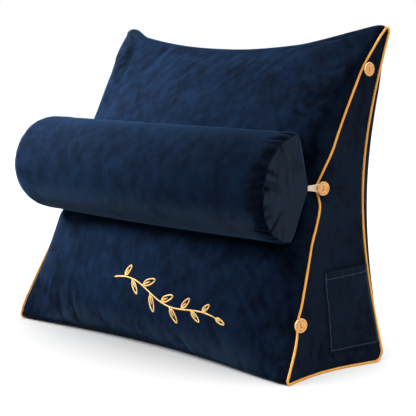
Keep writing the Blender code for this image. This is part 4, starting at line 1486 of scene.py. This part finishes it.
def navy_velvet(name, dark, light, pale):
    """Brushed short pile: patches lie one way or the other, over fine streaks of the pile."""
    paint = Paint(name, Roughness=0.9, Specular_IOR_Level=0.022)
    paint.look(Sheen_Weight=SHEEN, Sheen_Roughness=0.32, Sheen_Tint=SHEEN_TINT)
    patches = paint.between(paint.noise(paint.place(), 15, 3.0, 0.55), 0.36, 0.64)
    mottle = paint.between(paint.noise(paint.place((1, 1, 0.7)), 62, 4.0, 0.62), 0.38, 0.64)
    brushed = paint.between(paint.noise(paint.place((70, 70, 16), (0.2, 0.75, 0)), 1, 3.0), 0.38, 0.62)
    streaks = paint.between(paint.noise(paint.place((430, 430, 34)), 1, 2.0), 0.30, 0.70)
    speckle = paint.noise(paint.place(), 1100, 1.0)
    nap = paint.math("MULTIPLY", patches, NAP_PATCHES)
    for layer, weight in zip((mottle, brushed, streaks, speckle), NAP_LAYERS):
        nap = paint.math("MULTIPLY_ADD", layer, weight, nap)
    nap = paint.math("ADD", nap, NAP_DARKER)
    # Painted shade: the crease note darkens the nap in folds and shaded places.
    crease = paint.spot("crease")
    nap = paint.math("MULTIPLY_ADD", crease, NAP_CREASE, nap)
    nap = paint.math("MAXIMUM", nap, 0.0)
    cloth = paint.colours(nap, dark, light)
    # Painted light: where its note is set, the colour turns to a greyer, lighter nap, still darkened by the
    # painted shade.
    shade = paint.math("MULTIPLY_ADD", nap, *PALE_BY_NAP)
    shade = paint.math("MULTIPLY_ADD", crease, PALE_CREASE, shade)
    painted_light_colour = paint.colours(paint.math("MAXIMUM", shade, 0.0), dark, pale)
    paint.look(Base_Color=paint.mix(paint.spot("pale"), cloth, painted_light_colour))
    paint.bump(
        (patches, 0.0008, 0.2), (mottle, 0.0007, 0.35), (streaks, 0.0003, 0.35), (speckle, 0.0003, 0.55)
    )
    return paint.material


def amber_satin(name):
    """Satin bias strip wound on a cord."""
    paint = Paint(name, Specular_IOR_Level=0.55)
    paint.look(Sheen_Weight=0.15, Sheen_Roughness=0.4, Sheen_Tint=(1, 0.8, 0.5, 1))
    weave = paint.lie((1, 0.0141, 1))
    twill = paint.add("TexWave", {"bands_direction": "DIAGONAL"}, Vector=weave, Scale=560, Distortion=0.4)
    cloth = paint.noise(paint.place(), 60, 3.0)
    share = paint.blend(twill.outputs[1], 0.35, cloth)
    paint.look(Base_Color=paint.colours(share, (0.66, 0.245, 0.016), (1.00, 0.47, 0.068)))
    paint.look(Roughness=paint.between(cloth, 0.3, 0.7, 0.36, 0.52))
    paint.bump((cloth, 0.0005, 0.3), (twill.outputs[1], 0.00012, 0.6))
    return paint.material


def turned_wood(name):
    """Pale varnished wood, with growth lines down the grain and fine turning marks."""
    paint = Paint(name, Specular_IOR_Level=0.5, Coat_Weight=0.25, Coat_Roughness=0.25)
    grain = paint.noise(paint.place((900, 900, 90), (0.1, 0.05, 0.2)), 1, 3.0, 0.6)
    pores = paint.noise(paint.place((2600, 2600, 260)), 1, 1.0)
    share = paint.blend(pores, 0.25, paint.between(grain, 0.32, 0.68))
    paint.look(Base_Color=paint.colours(share, (0.50, 0.20, 0.035), (0.92, 0.50, 0.16)))
    paint.look(Roughness=paint.between(grain, 0.3, 0.7, 0.34, 0.48))
    paint.bump((grain, 0.0002, 0.3), (pores, 0.0001, 0.3))
    return paint.material


def cream_elastic(name):
    """Knitted elastic: ribs along it and fine loops across."""
    paint = Paint(name, Roughness=0.75, Specular_IOR_Level=0.2)
    ribs = paint.add("TexWave", Vector=paint.lie((0, 1, 1)), Scale=1.9).outputs[1]
    loops = paint.add("TexWave", Vector=paint.lie((1, 0, 1)), Scale=420).outputs[1]
    share = paint.blend(ribs, 0.4, paint.noise(paint.place(), 700))
    paint.look(Base_Color=paint.colours(share, (0.66, 0.50, 0.34), (0.95, 0.80, 0.62)))
    paint.bump((ribs, 0.0003, 0.6), (loops, 0.0002, 0.5))
    return paint.material


def thread(name, dark, light, lay=900):
    """Twisted sewing or embroidery thread, laid side by side across its line."""
    paint = Paint(name, Roughness=0.45, Specular_IOR_Level=0.5)
    strands = paint.add("TexWave", Vector=paint.lie((1, 0.0012, 1)), Scale=lay, Distortion=0.6).outputs[1]
    share = paint.blend(strands, 0.5, paint.noise(paint.place(), 300))
    paint.look(Base_Color=paint.colours(share, dark, light))
    paint.bump((strands, 0.00015, 0.7))
    return paint.material


# ---------------------------------------------------------------- the object
def add_piece(piece, node):
    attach(piece, "root")
    if node is not None:
        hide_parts(node)
    OBJECT.append(piece)
    return piece


def surface_of(*pieces):
    """Ray-casting tree of finished pieces."""
    verts, faces = [], []
    for piece in pieces:
        first = len(verts)
        verts += [tuple(point) for point in positions(piece)]
        faces += [tuple(i + first for i in polygon.vertices) for polygon in piece.data.polygons]
    return BVHTree.FromPolygons(verts, faces)


OBJECT = []
# darkest and lightest navy nap, and the greyer, lighter nap that is painted in for light off the room and
# the floor
VELVET = navy_velvet(
    "navy_velvet", (0.0002, 0.0010, 0.0036), (0.0018, 0.0062, 0.0168), (0.0120, 0.0185, 0.0300)
)
AMBER = amber_satin("amber_satin")
WOOD = turned_wood("turned_wood")
ELASTIC = cream_elastic("cream_elastic")
GOLD_THREAD = thread("gold_thread", (0.42, 0.22, 0.04), (0.74, 0.44, 0.12))
BUTTON_THREAD = thread("button_thread", (0.45, 0.27, 0.08), (0.75, 0.50, 0.20), 1400)
SEAM_THREAD = thread("seam_thread", (0.034, 0.056, 0.090), (0.090, 0.135, 0.190), 1400)

wedge = add_piece(build_wedge(VELVET), "wedge_cushion")
bolster = add_piece(build_bolster(VELVET), "bolster_roll")
cover = surface_of(wedge)
blank = button_blank()
for side_name in SIDES:
    add_piece(build_piping(side_name, AMBER), "piping_" + side_name)
    for height_name in ("top", "mid", "low"):
        node_name = "button_" + side_name + "_" + height_name
        button = build_button(
            "turned_" + node_name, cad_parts[node_name], blank, cover, WOOD, BUTTON_THREAD
        )
        add_piece(button, node_name)
    loop = build_loop(side_name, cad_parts["button_" + side_name + "_mid"], ELASTIC)
    add_piece(loop, "loop_" + side_name)
pocket, pocket_rows = build_pocket(cover, VELVET)
add_piece(pocket, "pocket_right")
stitches = add_piece(build_stitches(pocket_rows, SEAM_THREAD), None)
add_piece(build_sprig(cover, GOLD_THREAD), None)


# ---------------------------------------------------------------- studio
def put_in_scene(name, data, place, ahead):
    """Camera or light at a place, looking ahead."""
    made = bpy.data.objects.new(name, data)
    made.location = place
    made.rotation_euler = Vector(ahead).to_track_quat("-Z", "Y").to_euler()
    bpy.context.scene.collection.objects.link(made)
    return made


def build_camera():
    yaw, pitch = math.radians(CAMERA_YAW), math.radians(CAMERA_PITCH)
    camera = bpy.data.cameras.new("camera")
    camera.lens = CAMERA_LENS
    camera.sensor_width = 36
    camera.clip_start = 0.01
    ahead = (-math.sin(yaw) * math.cos(pitch), math.cos(yaw) * math.cos(pitch), -math.sin(pitch))
    bpy.context.scene.camera = put_in_scene("camera", camera, CAMERA_PLACE, ahead)


def add_light(name, kind, place, target, power, **settings):
    light = bpy.data.lights.new(name, kind)
    light.energy = power
    for setting, value in settings.items():
        setattr(light, setting, value)
    return put_in_scene(name, light, place, Vector(target) - Vector(place))


def build_world():
    """White room for the camera, dimmer for the light that it gives."""
    world = bpy.data.worlds.new("white_room")
    bpy.context.scene.world = world
    world.use_nodes = True
    room = Nodes(world.node_tree)
    dim, end = world.node_tree.nodes["Background"], world.node_tree.nodes["World Output"]
    room.set(dim, {"Color": WHITE, "Strength": ROOM_LIGHT})
    seen = room.add("Background", Color=WHITE, Strength=1.0)
    mixer = room.add("MixShader")
    camera_ray = room.add("LightPath").outputs["Is Camera Ray"]
    room.set(mixer, {0: camera_ray, 1: dim.outputs[0], 2: seen.outputs[0]})
    room.set(end, {0: mixer.outputs[0]})


build_camera()
build_world()
floor = new_piece("floor", [(-4, -4, 0), (4, -4, 0), (4, 4, 0), (-4, 4, 0)], [(0, 1, 2, 3)])
floor_paint = Paint("white_floor", Base_Color=FLOOR_COLOUR, Roughness=0.9, Specular_IOR_Level=0.1)
floor.data.materials.append(floor_paint.material)
add_light("overhead", "SUN", (0, 0, 3), SKY_TARGET, SKY_LIGHT, angle=math.radians(SKY_SPREAD))
key = add_light(
    "key", "AREA", KEY_PLACE, KEY_TARGET, KEY_LIGHT,
    color=KEY_COLOUR, shape="DISK", size=KEY_SIZE, spread=math.radians(KEY_SPREAD),
)
bounce = add_light("bounce", "AREA", BOUNCE_PLACE, (*BOUNCE_PLACE[:2], 1), BOUNCE_LIGHT, size=BOUNCE_SIZE)
bounce.visible_camera = False
# The key and the bounce miss the left side's trims, which the key would bleach.
lit = bpy.data.collections.new("lit_by_key")
for each in OBJECT:
    if "left" not in each.name:
        lit.objects.link(each)
for each in (key, bounce):
    each.light_linking.receiver_collection = lit
bpy.context.scene.view_settings.view_transform = "Standard"
bpy.context.scene.view_settings.look = "None"
